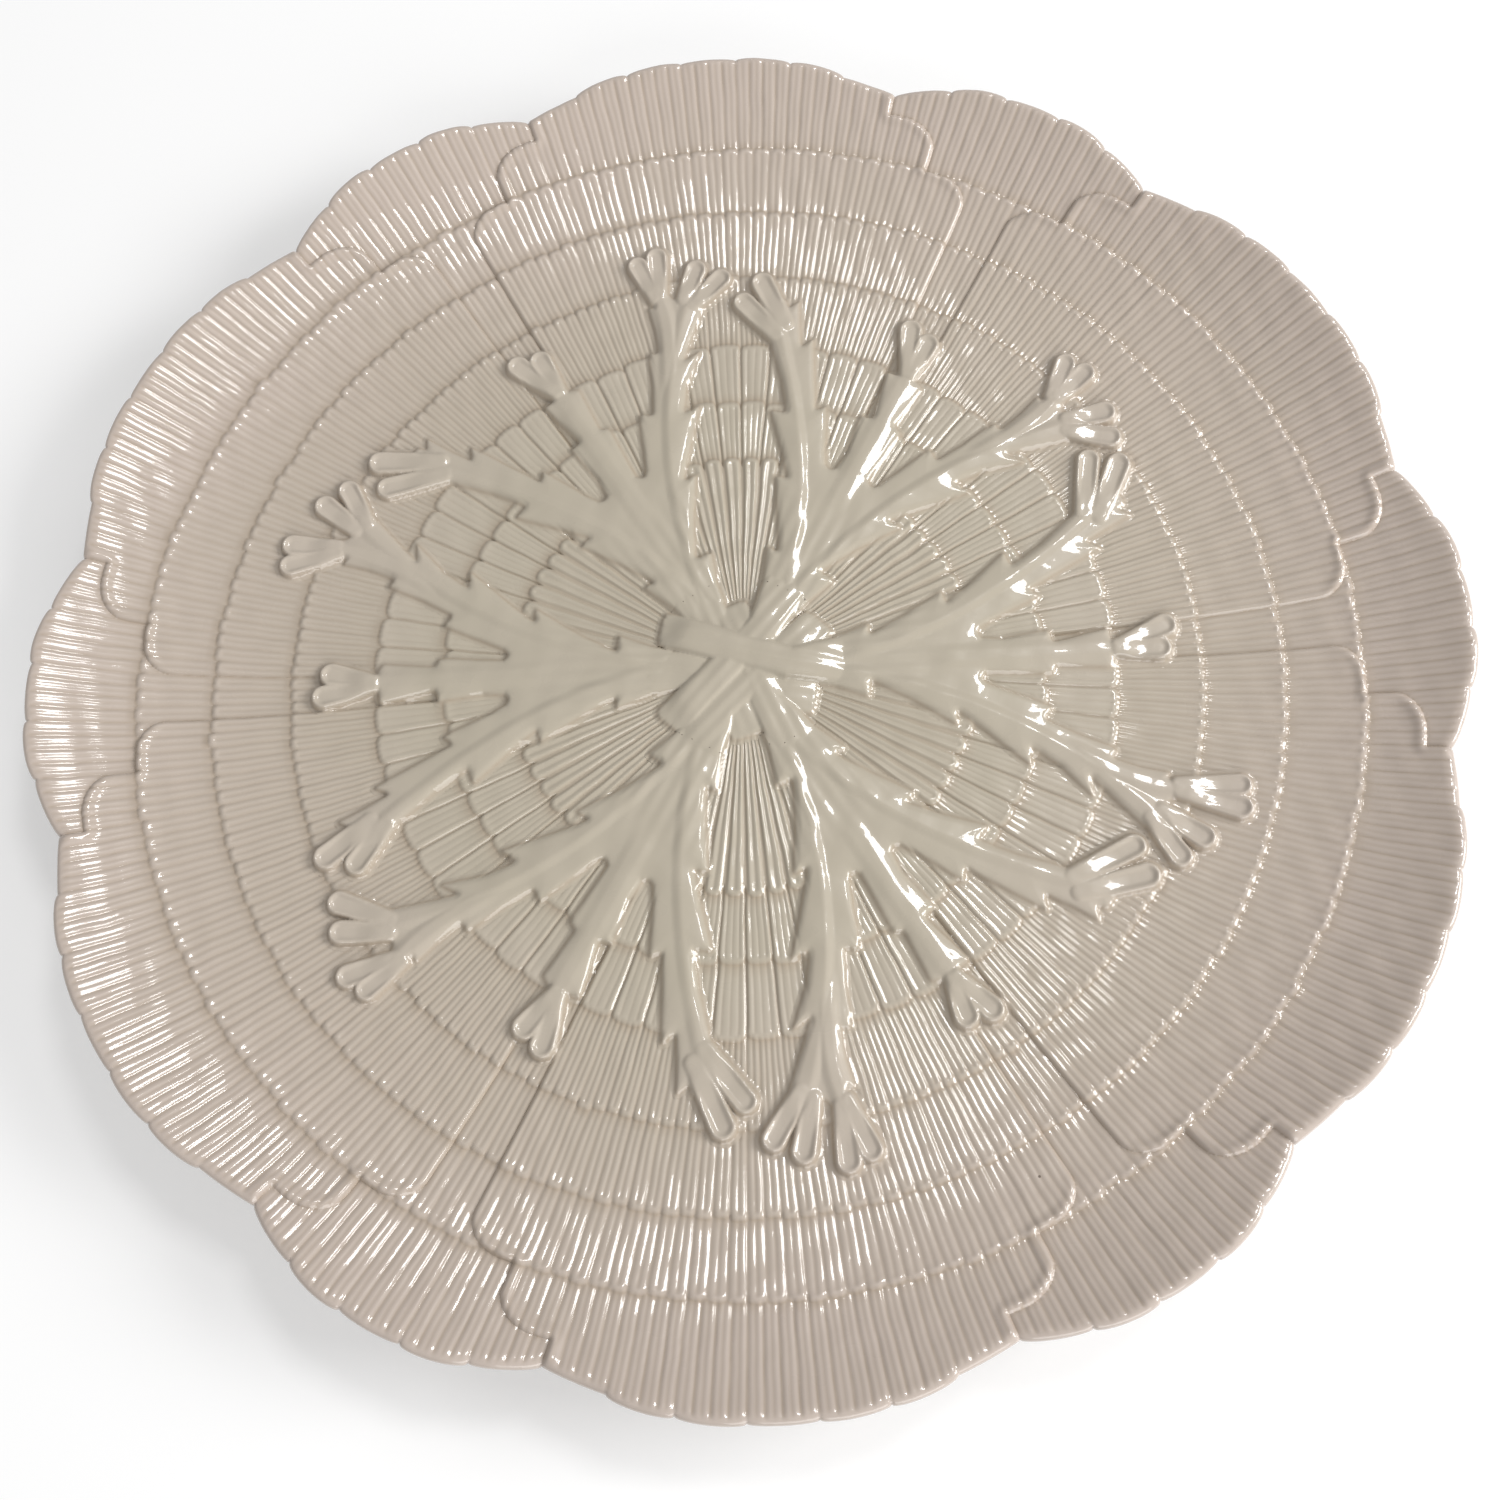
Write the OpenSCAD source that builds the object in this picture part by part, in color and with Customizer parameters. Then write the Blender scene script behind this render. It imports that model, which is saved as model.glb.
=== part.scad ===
/* [Plate] */
// Radius of the rim at the notches between the big shells
rim_notch_radius = 159.3; // [140:0.5:180]
// Depth of the well below the rim notches
well_depth = 12.2; // [9:0.1:16]
// Thickness of the plain dish under the relief
body_thickness = 3.4; // [2.6:0.1:5]
// Thickness of the rolled lip
lip_thickness = 5.6; // [4.4:0.1:7]
// Width of the lip that hooks over the edge of the dish
lip_width = 4.2; // [3:0.1:6]

/* [Foot] */
// Outer radius of the foot ring
foot_radius = 96; // [80:1:110]
// Width of the foot ring
foot_width = 7; // [5:0.5:10]
// Height of the foot ring under the dish
foot_height = 5.2; // [3.5:0.1:8]
// Slant of the foot ring's two sides
foot_taper = 1.2; // [0.6:0.1:2]

/* [Shells] */
// Thickness of the shells over the dish
shell_thickness = 2.6; // [2.2:0.1:4]
// Height of the step where one tier of ribs ends over the next
tier_step = 0.9; // [0.5:0.1:1.3]
// How far the narrow shells lie below the wide ones
ear_drop = 0.6; // [0.2:0.1:0.9]
// Radius at which the shells start under the crossed stems
shell_root_radius = 9; // [6:0.5:12]
// Depth of the flutes between the broad inner ribs
flute_depth = 0.45; // [0.2:0.05:0.7]
// Width of those flutes
flute_width = 0.8; // [0.5:0.05:1]

/* [Sprays] */
// How far the stems stand above the shells
stem_rise = 1.9; // [1.6:0.1:3.2]
// How much higher the pods stand than the stems
pod_swell = 0.4; // [0.2:0.1:1.2]
// Rise of each stem over the one that it crosses in the middle
crossing_rise = 0.35; // [0.1:0.05:0.5]

/* [Hidden] */
// Clearance between a piece and the one that it sits on
seat_clearance = 0.2;
// Clearance between pieces that lie side by side
seam_clearance = 0.3;
// Overrun of every cut
overrun = 1;

spray_count = 6;
spray_angle = 360 / spray_count;
// small scallops along the rim of one wide and of one narrow shell
wide_scallops = 7;
narrow_scallops = 5;
scallop_angle = spray_angle / (wide_scallops + narrow_scallops);
wide_half_angle = wide_scallops * scallop_angle / 2;
narrow_half_angle = narrow_scallops * scallop_angle / 2;

// ends of the rib tiers from the middle outward, as shares of the notch radius
tier_share = [0.349, 0.448, 0.5506, 0.6736, 0.7875, 0.892];
// rim radius in the valleys beside the scallops and the bulge of each scallop,
// from a shell's middle outward, as shares of the notch radius
wide_valley_share = [1.0312, 1.0262, 1.0125, 0.998];
wide_bulge_share = [0.0033, 0.0053, 0.0065, 0.0006];
narrow_valley_share = [1.0315, 1.0205, 0.998];
narrow_bulge_share = [0.0043, 0.008, 0.0048];
// tops of the two ears on each side of a wide shell, and how round they are
ear_share = [0.892, 0.965];
ear_round_share = 0.03;
// radius at which the narrow shells start between the wide ones
narrow_root_share = 0.3;
// radius at which the flutes start, and how many lie on each side of a wide shell's middle
flute_root_share = 0.15;
flute_pairs = 5;
// the well is flat up to this share of the notch radius and then curves up
flat_share = 0.4;
rise_power = 3.2;

rim_peak = rim_notch_radius * (narrow_valley_share[0] + narrow_bulge_share[0]);
dish_radius = rim_notch_radius - lip_width;
floor_z = foot_height + body_thickness + seat_clearance + shell_thickness;
top_z = face_z(rim_peak) + tier_step;
profile_steps = 36;

body_colour = "#cdc2ac";
foot_colour = "#b5aa94";
wide_colour = "#d9cfba";
narrow_colour = "#c6bba4";
spray_colour = "#e2d9c6";
crossing_colour = "#d3c9b3";

// Height of the plate's mean face at radius r
function face_z(r) = floor_z
    + well_depth * pow(max(0, (r / rim_notch_radius - flat_share) / (1 - flat_share)), rise_power);

// Radii at which every curved face is sampled, between two ends
function face_radii(r0, r1) = concat([r0],
    [for (k = [1 : profile_steps * 2]) let (r = dish_radius * k / profile_steps)
        if (r > r0 && r < r1) r],
    [r1]);

// Points along the mean face, moved up by lift
function face_points(r0, r1, lift) = [for (r = face_radii(r0, r1)) [r, face_z(r) + lift]];

// Inner and outer radius of rib tier t
tier_count = len(tier_share);
function tier_inner(t) = t == 0 ? 0 : rim_notch_radius * tier_share[t - 1];
function tier_outer(t) = t == tier_count ? rim_peak + overrun : rim_notch_radius * tier_share[t];

// Points along the stepped top of the shells: each tier climbs to its outer end and
// then drops to the next; reach moves the drops outward
function tier_points(r0, r1, lift, reach = 0) = [
    for (t = [0 : tier_count])
        let (a = tier_inner(t), b = tier_outer(t), s0 = max(r0, t == 0 ? a : a + reach),
             s1 = min(r1, t == tier_count ? b : b + reach))
            if (s1 > s0) for (r = face_radii(s0, s1))
                [r, face_z(r) + tier_step * (min(1, (r - a) / (b - a)) - 1 / 2) + lift]
];

function turned(list) = [for (i = [len(list) - 1 : -1 : 0]) list[i]];
function polar(r, a) = [r * cos(a), r * sin(a)];
// The same polar place, grown outward and sideways by a length
function grown(r, a, grow) = polar(r + grow, a + sign(a) * grow / r * 180 / PI);

// Rim radius of a shell at angle a from its middle: round scallops between their valleys
function rim_radius(a, valleys, bulges) =
    let (half = scallop_angle / 2, u = abs(a) / half, lobe = min(len(valleys) - 1, floor((u + 1) / 2)),
         inner = lobe == 0 ? valleys[0] : valleys[lobe - 1], outer = valleys[lobe],
         t = (u - (2 * lobe - 1)) / 2, s = lobe == 0 ? u : abs(2 * t - 1))
    rim_notch_radius * ((lobe == 0 ? outer : inner + (outer - inner) * t)
        + bulges[lobe] * sqrt(max(0, 1 - s * s)));

// Plan of a wide shell about the X axis, grown by a length: the root, one side with its
// two ears, and the scalloped rim, then the other side
lobe_steps = 6;
ear_steps = 6;
function ear_line(n, grow) =
    let (a0 = wide_half_angle + (2 - n) * scallop_angle, base = rim_notch_radius * (ear_share[n] - ear_round_share))
    [for (i = [0 : ear_steps]) let (t = 180 * i / ear_steps)
        grown(base + rim_notch_radius * ear_round_share * sin(t), a0 - scallop_angle * (1 - cos(t)) / 2, grow)];
function mirrored(list) = [for (p = turned(list)) [p[0], -p[1]]];
function wide_side(grow) =
    let (root = rim_notch_radius * narrow_root_share, edge = wide_half_angle + 2 * scallop_angle,
         half = spray_angle / 2)
    concat(
        [grown(shell_root_radius, half, grow - seam_clearance / 2), grown(root, half, grow - seam_clearance / 2),
         grown(root, edge, grow)],
        ear_line(0, grow), ear_line(1, grow));
function wide_rim(grow) = [
    for (i = [wide_scallops * lobe_steps : -1 : 0])
        let (a = wide_half_angle * (2 * i / (wide_scallops * lobe_steps) - 1))
            grown(rim_radius(a, wide_valley_share, wide_bulge_share), a, grow)];
function wide_plan(grow) = concat(wide_side(grow), wide_rim(grow), mirrored(wide_side(grow)));

// Plan of a narrow shell before the wide ones are cut out of it
function narrow_plan() = concat(
    [polar(rim_notch_radius * narrow_root_share, narrow_half_angle),
     polar(rim_notch_radius * narrow_root_share, -narrow_half_angle)],
    [for (i = [0 : narrow_scallops * lobe_steps])
        let (a = narrow_half_angle * (2 * i / (narrow_scallops * lobe_steps) - 1))
            polar(rim_radius(a, narrow_valley_share, narrow_bulge_share), a)]);

module column(plan) {
    translate([0, 0, -overrun]) linear_extrude(top_z + 2 * overrun) polygon(plan);
}

// Ring between a lower and an upper line of points
module lathe(lower, upper) {
    rotate_extrude($fn = 180) polygon(concat(lower, turned(upper)));
}

// Body of a shell: it lies on the dish and its lip hooks over the dish's edge
module shell_lathe(lift) {
    edge = dish_radius + seam_clearance;
    far = rim_peak + overrun;
    lathe(
        concat(face_points(shell_root_radius / 2, edge, -shell_thickness),
            face_points(edge, far, -lip_thickness)),
        tier_points(shell_root_radius / 2, far, lift));
}

// Grooves between the broad ribs of the inner tiers
module flutes() {
    first = rim_notch_radius * flute_root_share;
    last = rim_notch_radius * tier_share[2];
    intersection() {
        union() {
            for (i = [-flute_pairs : flute_pairs - 1])
                rotate((i + 1 / 2) * scallop_angle)
                    translate([first, -flute_width / 2, 0]) cube([last - first, flute_width, top_z]);
        }
        lathe(tier_points(first, last, -flute_depth), face_points(first, last, shell_thickness));
    }
}

module wide_shell(n) {
    color(wide_colour) rotate((n - 1 / 2) * spray_angle) difference() {
        intersection() {
            shell_lathe(0);
            column(wide_plan(0));
        }
        flutes();
    }
}

module narrow_shell(n) {
    color(narrow_colour) rotate((n - 1) * spray_angle) difference() {
        intersection() {
            shell_lathe(-ear_drop);
            column(narrow_plan());
        }
        for (side = [-1, 1]) rotate(side * spray_angle / 2) column(wide_plan(seam_clearance));
    }
}

// Plain dish: a shallow bowl that carries the shells
module dish_body() {
    color(body_colour) lathe(
        face_points(0, dish_radius, -shell_thickness - seat_clearance - body_thickness),
        face_points(0, dish_radius, -shell_thickness - seat_clearance));
}

// Foot ring: stands on the table and carries the dish
module foot_ring() {
    inner = foot_radius - foot_width;
    under = -shell_thickness - 2 * seat_clearance - body_thickness;
    color(foot_colour) lathe(
        [[inner + foot_taper, 0], [foot_radius - foot_taper, 0]],
        face_points(inner, foot_radius, under));
}

// Outline of the three joined stems of a spray, in shares of the notch radius: across
// and along its own axis. Each jog is the free tip of a scale leaf on the stem.
fan_share = [
    [-0.036, 0.135], [-0.055, 0.190], [-0.037, 0.189], [-0.066, 0.245], [-0.100, 0.302],
    [-0.079, 0.306], [-0.116, 0.352], [-0.157, 0.400], [-0.133, 0.408], [-0.165, 0.455],
    [-0.205, 0.502], [-0.245, 0.535], [-0.252, 0.578], [-0.222, 0.590], [-0.213, 0.577],
    [-0.203, 0.597], [-0.180, 0.553], [-0.163, 0.524], [-0.153, 0.547], [-0.120, 0.483],
    [-0.092, 0.431], [-0.081, 0.447], [-0.062, 0.405], [-0.047, 0.372], [-0.036, 0.353],
    [-0.028, 0.348], [-0.021, 0.354], [-0.018, 0.385], [-0.026, 0.455], [-0.008, 0.457],
    [-0.014, 0.490], [-0.024, 0.541], [-0.002, 0.543], [-0.006, 0.570], [0.028, 0.570],
    [0.026, 0.543], [0.040, 0.537], [0.031, 0.457], [0.044, 0.453], [0.037, 0.385],
    [0.035, 0.356], [0.042, 0.348], [0.051, 0.355], [0.066, 0.385], [0.080, 0.415],
    [0.096, 0.447], [0.112, 0.432], [0.138, 0.475], [0.166, 0.531], [0.178, 0.521],
    [0.195, 0.560], [0.207, 0.600], [0.215, 0.594], [0.222, 0.630], [0.246, 0.630],
    [0.250, 0.588], [0.280, 0.600], [0.300, 0.578], [0.285, 0.553], [0.248, 0.522],
    [0.205, 0.487], [0.235, 0.487], [0.185, 0.445], [0.155, 0.408], [0.183, 0.405],
    [0.135, 0.355], [0.092, 0.308], [0.114, 0.306], [0.070, 0.245], [0.036, 0.187],
    [0.062, 0.183], [0.042, 0.135]
];
// Pods in shares of the notch radius: root, root radius, tip, tip radius
centre_pod_share = [
    [[0.006, 0.552], 0.012, [-0.013, 0.616], 0.028],
    [[0.016, 0.552], 0.012, [0.022, 0.607], 0.024]];
left_pod_share = [
    [[-0.210, 0.552], 0.017, [-0.278, 0.596], 0.023],
    [[-0.215, 0.530], 0.017, [-0.289, 0.552], 0.022]];
right_pod_share = [
    [[0.232, 0.612], 0.013, [0.231, 0.672], 0.021],
    [[0.238, 0.612], 0.013, [0.264, 0.668], 0.023]];
end_pod_share = [
    [[0.268, 0.582], 0.014, [0.311, 0.619], 0.022],
    [[0.275, 0.566], 0.014, [0.336, 0.585], 0.021]];
// How far each spray's left, right and end pods stray from the pattern
pod_drift_share = [
    [[-0.009, -0.011], [0.004, 0.018], [-0.005, 0.010]],
    [[0.008, 0.000], [-0.008, -0.008], [0.000, -0.007]],
    [[-0.007, -0.001], [0.002, -0.004], [-0.004, -0.008]],
    [[0.022, 0.012], [-0.024, 0.004], [-0.007, 0.006]],
    [[-0.002, 0.009], [0.016, -0.011], [0.012, -0.011]],
    [[-0.018, -0.016], [0.005, 0.005], [0.001, 0.011]]];

// Outline of a pod: two round ends of different size with straight flanks between them
pod_steps = 8;
function pod_plan(p0, r0, p1, r1) =
    let (d = p1 - p0, dist = norm(d), dir = atan2(d[1], d[0]), lean = acos((r0 - r1) / dist))
    concat(
        [for (i = [0 : pod_steps]) p1 + polar(r1, dir - lean + 2 * lean * i / pod_steps)],
        [for (i = [0 : pod_steps]) p0 + polar(r0, dir + lean + (360 - 2 * lean) * i / pod_steps)]);

module pod(pod_share, drift_share) {
    n = rim_notch_radius;
    column(pod_plan(pod_share[0] * n, pod_share[1] * n, (pod_share[2] + drift_share) * n, pod_share[3] * n));
}

// Space between the shells' tops and a height above the mean face, out to the outermost pod
module spray_lathe(rise) {
    first = shell_root_radius;
    last = rim_notch_radius * ear_share[0];
    lathe(tier_points(first, last, seat_clearance, seam_clearance),
        face_points(first, last, rise));
}

module pods(n) {
    drift = pod_drift_share[n - 1];
    for (p = centre_pod_share) pod(p, [0, 0]);
    for (p = left_pod_share) pod(p, drift[0]);
    for (p = right_pod_share) pod(p, drift[1]);
    for (p = end_pod_share) pod(p, drift[2]);
}

module seaweed_spray(n) {
    color(spray_colour) rotate((n - 1) * spray_angle - 90) difference() {
        union() {
            intersection() {
                spray_lathe(stem_rise);
                column(fan_share * rim_notch_radius);
            }
            intersection() {
                spray_lathe(stem_rise + pod_swell);
                union() pods(n);
            }
        }
        rotate(90 - (n - 1) * spray_angle) crossing_plan(seam_clearance);
    }
}

// Stems that run on across the middle: how far each reaches past it and how far it
// swings round, from the first spray on, and the order in which they cross
stalk_reach_share = [0.138, 0.142, 0.110, 0.120, 0.136, 0.100];
stalk_swing = [29.5, 23, 28, 28, 31.6, 21];
stalk_level = [3, 2, 0, 0, 1, 1];
stalk_width_share = 0.058;
stalk_neck_share = 0.078;
stalk_foot_share = 0.135;

// Plan of stalk n, about its spray's axis, grown by a length
function stalk_plan(n, grow) =
    let (s = stalk_swing[n], far = -stalk_reach_share[n] * rim_notch_radius * [sin(s), cos(s)],
         near = [0, stalk_foot_share * rim_notch_radius], dir = (near - far) / norm(near - far),
         side = [-dir[1], dir[0]], half = stalk_width_share * rim_notch_radius / 2 + grow,
         neck = stalk_neck_share * rim_notch_radius / 2)
    [far - dir * grow + side * half, far - dir * grow - side * half,
     near / 2 - side * half, near + [neck + grow, 0], near - [neck + grow, 0], near / 2 + side * half];

module stalk(n, grow, rise) {
    rotate(n * spray_angle - 90) translate([0, 0, -overrun])
        linear_extrude(rise + overrun) polygon(stalk_plan(n, grow));
}

module crossing_plan(grow) {
    for (n = [0 : spray_count - 1]) stalk(n, grow, top_z + overrun);
}

// Crossed stems in the middle, each a step higher than the one that it lies on
module stem_crossing() {
    base = floor_z + tier_step / 2 + seat_clearance;
    color(crossing_colour) intersection() {
        union() for (n = [0 : spray_count - 1]) stalk(n, 0, floor_z + stem_rise + stalk_level[n] * crossing_rise);
        translate([0, 0, base]) cylinder(h = top_z, r = rim_notch_radius * tier_share[0]);
    }
}

dish_body();
foot_ring();
wide_shell(1);  // wide_shell_1
wide_shell(2);  // wide_shell_2
wide_shell(3);  // wide_shell_3
wide_shell(4);  // wide_shell_4
wide_shell(5);  // wide_shell_5
wide_shell(6);  // wide_shell_6
narrow_shell(1);  // narrow_shell_1
narrow_shell(2);  // narrow_shell_2
narrow_shell(3);  // narrow_shell_3
narrow_shell(4);  // narrow_shell_4
narrow_shell(5);  // narrow_shell_5
narrow_shell(6);  // narrow_shell_6
seaweed_spray(1);  // seaweed_spray_1
seaweed_spray(2);  // seaweed_spray_2
seaweed_spray(3);  // seaweed_spray_3
seaweed_spray(4);  // seaweed_spray_4
seaweed_spray(5);  // seaweed_spray_5
seaweed_spray(6);  // seaweed_spray_6
stem_crossing();
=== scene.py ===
"""A round serving plate with overlapping ribbed shells and seaweed sprays in relief.

The upper side is one relief: every piece is a part of it, cut out along its own outline and
closed below, so that shells, sprays and crossed stems meet without a gap. All sizes are in
metres unless a name says shares (of the rim's notch radius) or degrees.
"""
from __future__ import annotations

import logging
from dataclasses import dataclass
from enum import Enum
from typing import Callable, Sequence

import bpy
import numpy as np
from mathutils import Matrix, Vector
from mathutils.geometry import delaunay_2d_cdt


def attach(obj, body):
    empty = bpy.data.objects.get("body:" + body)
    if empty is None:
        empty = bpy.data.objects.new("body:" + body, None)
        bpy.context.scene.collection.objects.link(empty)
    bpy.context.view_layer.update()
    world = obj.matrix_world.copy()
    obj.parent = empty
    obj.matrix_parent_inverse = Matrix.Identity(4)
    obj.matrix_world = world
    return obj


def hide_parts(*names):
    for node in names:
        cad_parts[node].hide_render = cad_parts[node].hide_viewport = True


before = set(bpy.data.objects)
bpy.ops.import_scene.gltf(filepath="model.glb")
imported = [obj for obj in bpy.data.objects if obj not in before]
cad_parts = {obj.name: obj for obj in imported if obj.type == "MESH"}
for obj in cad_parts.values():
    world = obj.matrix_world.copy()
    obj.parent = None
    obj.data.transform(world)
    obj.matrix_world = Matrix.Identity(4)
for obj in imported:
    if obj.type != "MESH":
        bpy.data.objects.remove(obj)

Array = np.ndarray
HeightRule = Callable[[Array, Array], Array]
GapRule = Callable[[Array, Array], Array]
MM = 0.001
NOTCH = 159.3 * MM  # radius of the notches between the shells, at the rim
SPRAYS = 6
SECTOR = 60.0  # degrees from one spray's axis to the next
HALF_SECTOR = SECTOR / 2
TIERS = 7
PLAIN_DEPTH = 0.2  # depth of glaze on plain faces, where 1 is the deepest pool
log = logging.getLogger("plate")


# Small shared sums

def smooth_step(t: Array) -> Array:
    """Return 3t^2 - 2t^3 with t held between 0 and 1."""
    t = np.clip(t, 0.0, 1.0)
    return t * t * (3.0 - 2.0 * t)


def rise(depth: Array, length: float) -> Array:
    """Return 1 - exp(-depth / length), and 0 where depth is negative."""
    return 1.0 - np.exp(-np.maximum(depth, 0.0) / length)


def hump(gap: Array, width: float) -> Array:
    """Return exp(-(gap / width)^2)."""
    return np.exp(-(gap / width) ** 2)


def joined(first: Array, second: Array, width: float) -> Array:
    """Return the greater of two heights, rounded where they differ by less than a width."""
    share = np.clip(0.5 + 0.5 * (first - second) / width, 0.0, 1.0)
    return second + (first - second) * share + width * share * (1.0 - share)


def polar(radius: Array | float, degrees: Array | float) -> Array:
    """Return x and y of polar places, stacked on a last axis."""
    turn = np.radians(degrees)
    return np.stack(np.broadcast_arrays(radius * np.cos(turn), radius * np.sin(turn)), axis=-1)


def bearing(x: Array, y: Array) -> Array:
    """Return the polar angle in degrees, from 0 up to 360."""
    return np.degrees(np.arctan2(y, x)) % 360.0


def across(degrees: Array, pitch: float, shift: float = 0.0) -> tuple[Array, Array]:
    """Find the place within ribs that repeat round the plate.

    Args:
        degrees: Polar angles.
        pitch: Angle from one rib's middle to the next.
        shift: Angle of one rib's middle.

    Returns:
        The place from -1 at one side of a rib through 0 in its middle to 1, and the rib's number.
    """
    place = (degrees - shift + pitch / 2) / pitch
    number = np.floor(place).astype(int)
    return 2.0 * (place - number) - 1.0, number % int(round(360.0 / pitch))


def within(points: Array, start: Array, end: Array) -> Array:
    """Test whether points lie inside closed outlines: a ray crosses them an odd number of times.

    Args:
        points: Places, one row each.
        start: Where each side of the outlines starts.
        end: Where it ends.

    Returns:
        True for each point inside.
    """
    edge = end - start
    slope = edge[:, 0] / np.where(edge[:, 1] == 0, 1.0, edge[:, 1])
    px, py = points[:, :1] - start[:, 0], points[:, 1:] - start[:, 1]
    crosses = (points[:, 1:] >= start[:, 1]) != (points[:, 1:] >= end[:, 1])
    return np.count_nonzero(crosses & (px < slope * py), axis=1) % 2 == 1


def side_gap(points: Array, start: Array, end: Array) -> Array:
    """Measure how far points lie from the nearest of many straight sides.

    Args:
        points: Places, one row each.
        start: Where each side starts.
        end: Where it ends.

    Returns:
        Distances.
    """
    edge = end - start
    length2 = np.maximum(np.einsum("ij,ij->i", edge, edge), 1e-18)
    px, py = points[:, :1] - start[:, 0], points[:, 1:] - start[:, 1]
    t = np.clip((px * edge[:, 0] + py * edge[:, 1]) / length2, 0.0, 1.0)
    return np.sqrt(((px - t * edge[:, 0]) ** 2 + (py - t * edge[:, 1]) ** 2).min(axis=1))


def outline_distance(points: Array, outline: Array) -> Array:
    """Measure how far points lie from a closed outline: the least distance to any of its sides.

    Args:
        points: Places, one row each.
        outline: Corners of the outline in order.

    Returns:
        Distances, negative inside.
    """
    end = np.roll(outline, -1, axis=0)
    parts = np.array_split(points, max(1, len(points) // 20000))
    return np.concatenate([side_gap(part, outline, end) * np.where(within(part, outline, end), -1.0, 1.0)
                           for part in parts])


class Waves:
    """Soft unevenness of a hand-finished mould: a sum of nine plane waves."""

    COUNT = 9

    def __init__(self, seed: int, wavelength: float) -> None:
        """Choose the waves' directions, lengths and phases.

        Args:
            seed: Seed of the draws.
            wavelength: Length from crest to crest that the waves lie around.
        """
        rng = np.random.default_rng(seed)
        turn = rng.uniform(0, 2 * np.pi, self.COUNT)
        steep = 2 * np.pi / (wavelength * rng.uniform(0.7, 1.5, self.COUNT))
        phase = rng.uniform(0, 2 * np.pi, self.COUNT)
        self.waves = list(zip(np.cos(turn) * steep, np.sin(turn) * steep, phase))

    def at(self, x: Array, y: Array) -> Array:
        """Return the summed waves at places, with a mean square of about 1."""
        total = sum(np.cos(kx * x + ky * y + phase) for kx, ky, phase in self.waves)
        return total * np.sqrt(2.0 / self.COUNT)


# The relief

class Ribs(Enum):
    """How the ribs of one tier are cut."""

    FINGER = "broad fingers with a dished middle"
    LOBE = "broad lobes with four fine ribs each"
    DOUBLE = "narrow ribs with a faint line along the middle"
    PLAIN = "round ribs that run out to the rim"


def past_end(inset: Array) -> Array:
    """Return 0 at a rib's outer end and 1 farther in, where dishes and fine ribs are full."""
    return smooth_step((inset - 0.7 * MM) / (1.3 * MM))


@dataclass(frozen=True)
class Cutting:
    """Cut ribs: height over the tier, depth of glaze with painted shade in the grooves, each rib's number and
    the place across it.
    """

    height: Array
    glaze: Array
    number: Array
    place: Array


@dataclass(frozen=True)
class FingerCut:
    """Cuts broad fingers, which start at the root and taper towards it.

    Angles are in degrees, heights in millimetres, places from 0 in a finger's middle to 1.
    """

    pitch: float = 5.0
    flat: float = 0.5
    shoulder: float = 0.42
    high: float = 0.42
    dish: float = 0.20
    dish_half: float = 0.27
    sunk: float = 0.22
    full_radius: float = 30 * MM
    side_pool_and_shade: float = 0.62
    dish_pool_and_shade: float = 0.2

    def cut(self, degrees: Array, radius: Array, inset: Array) -> Cutting:
        """Cut the fingers: a flat band with round shoulders and a shallow dish along the middle.

        Args:
            degrees: Polar angles.
            radius: Distances from the plate's middle.
            inset: Distances inward from the fingers' outer ends.

        Returns:
            The cut fingers.
        """
        place, number = across(degrees, self.pitch)
        body = 1 - smooth_step((np.abs(place) - self.flat) / self.shoulder)
        dish = hump(place, self.dish_half) * past_end(inset)
        height = (self.high * body - self.dish * dish) * MM * smooth_step(radius / self.full_radius)
        # Darkening at the shoulders and in the dish: pooled glaze and painted shade.
        glaze = self.side_pool_and_shade * (1 - body) + self.dish_pool_and_shade * dish
        return Cutting(height - self.sunk * MM, glaze, number, place)


@dataclass(frozen=True)
class LobeCut:
    """Cuts broad lobes with fine ribs on them.

    Angles are in degrees, heights in millimetres, places from 0 in a lobe's middle to 1.
    """

    pitch: float = 5.0
    fine_pitch: float = 1.25
    rim: float = 0.07
    rim_place: float = 0.74
    rim_inset: float = 0.9 * MM
    crown: float = 0.06
    fine: float = 0.085
    groove: float = 0.3
    groove_place: float = 0.84
    groove_pool_and_shade: float = 0.7
    fine_pool_and_shade: float = 0.25

    def cut(self, degrees: Array, radius: Array, inset: Array) -> Cutting:
        """Cut the lobes: a slightly round band with a thin raised rim and four faint ribs.

        Args:
            degrees: Polar angles.
            radius: Distances from the plate's middle, on which only fingers depend.
            inset: Distances inward from the lobes' outer ends.

        Returns:
            The cut lobes.
        """
        place, number = across(degrees, self.pitch)
        fine = np.abs(across(degrees, self.fine_pitch, self.fine_pitch / 2)[0])
        side, full = np.abs(place), past_end(inset)
        groove = smooth_step((side - self.groove_place) / (1 - self.groove_place))
        rim = np.maximum(hump(side - self.rim_place, 0.13), hump(inset - self.rim_inset, 0.8 * MM))
        height = (self.rim * rim + self.crown * (1 - place * place)
                  - self.fine * fine ** 2.2 * full - self.groove * groove) * MM
        # Darkening in the lobe grooves and fine ribs: pooled glaze and painted shade.
        glaze = np.maximum(self.groove_pool_and_shade * groove, self.fine_pool_and_shade * fine ** 3 * full)
        return Cutting(height, glaze, number, place)


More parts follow.
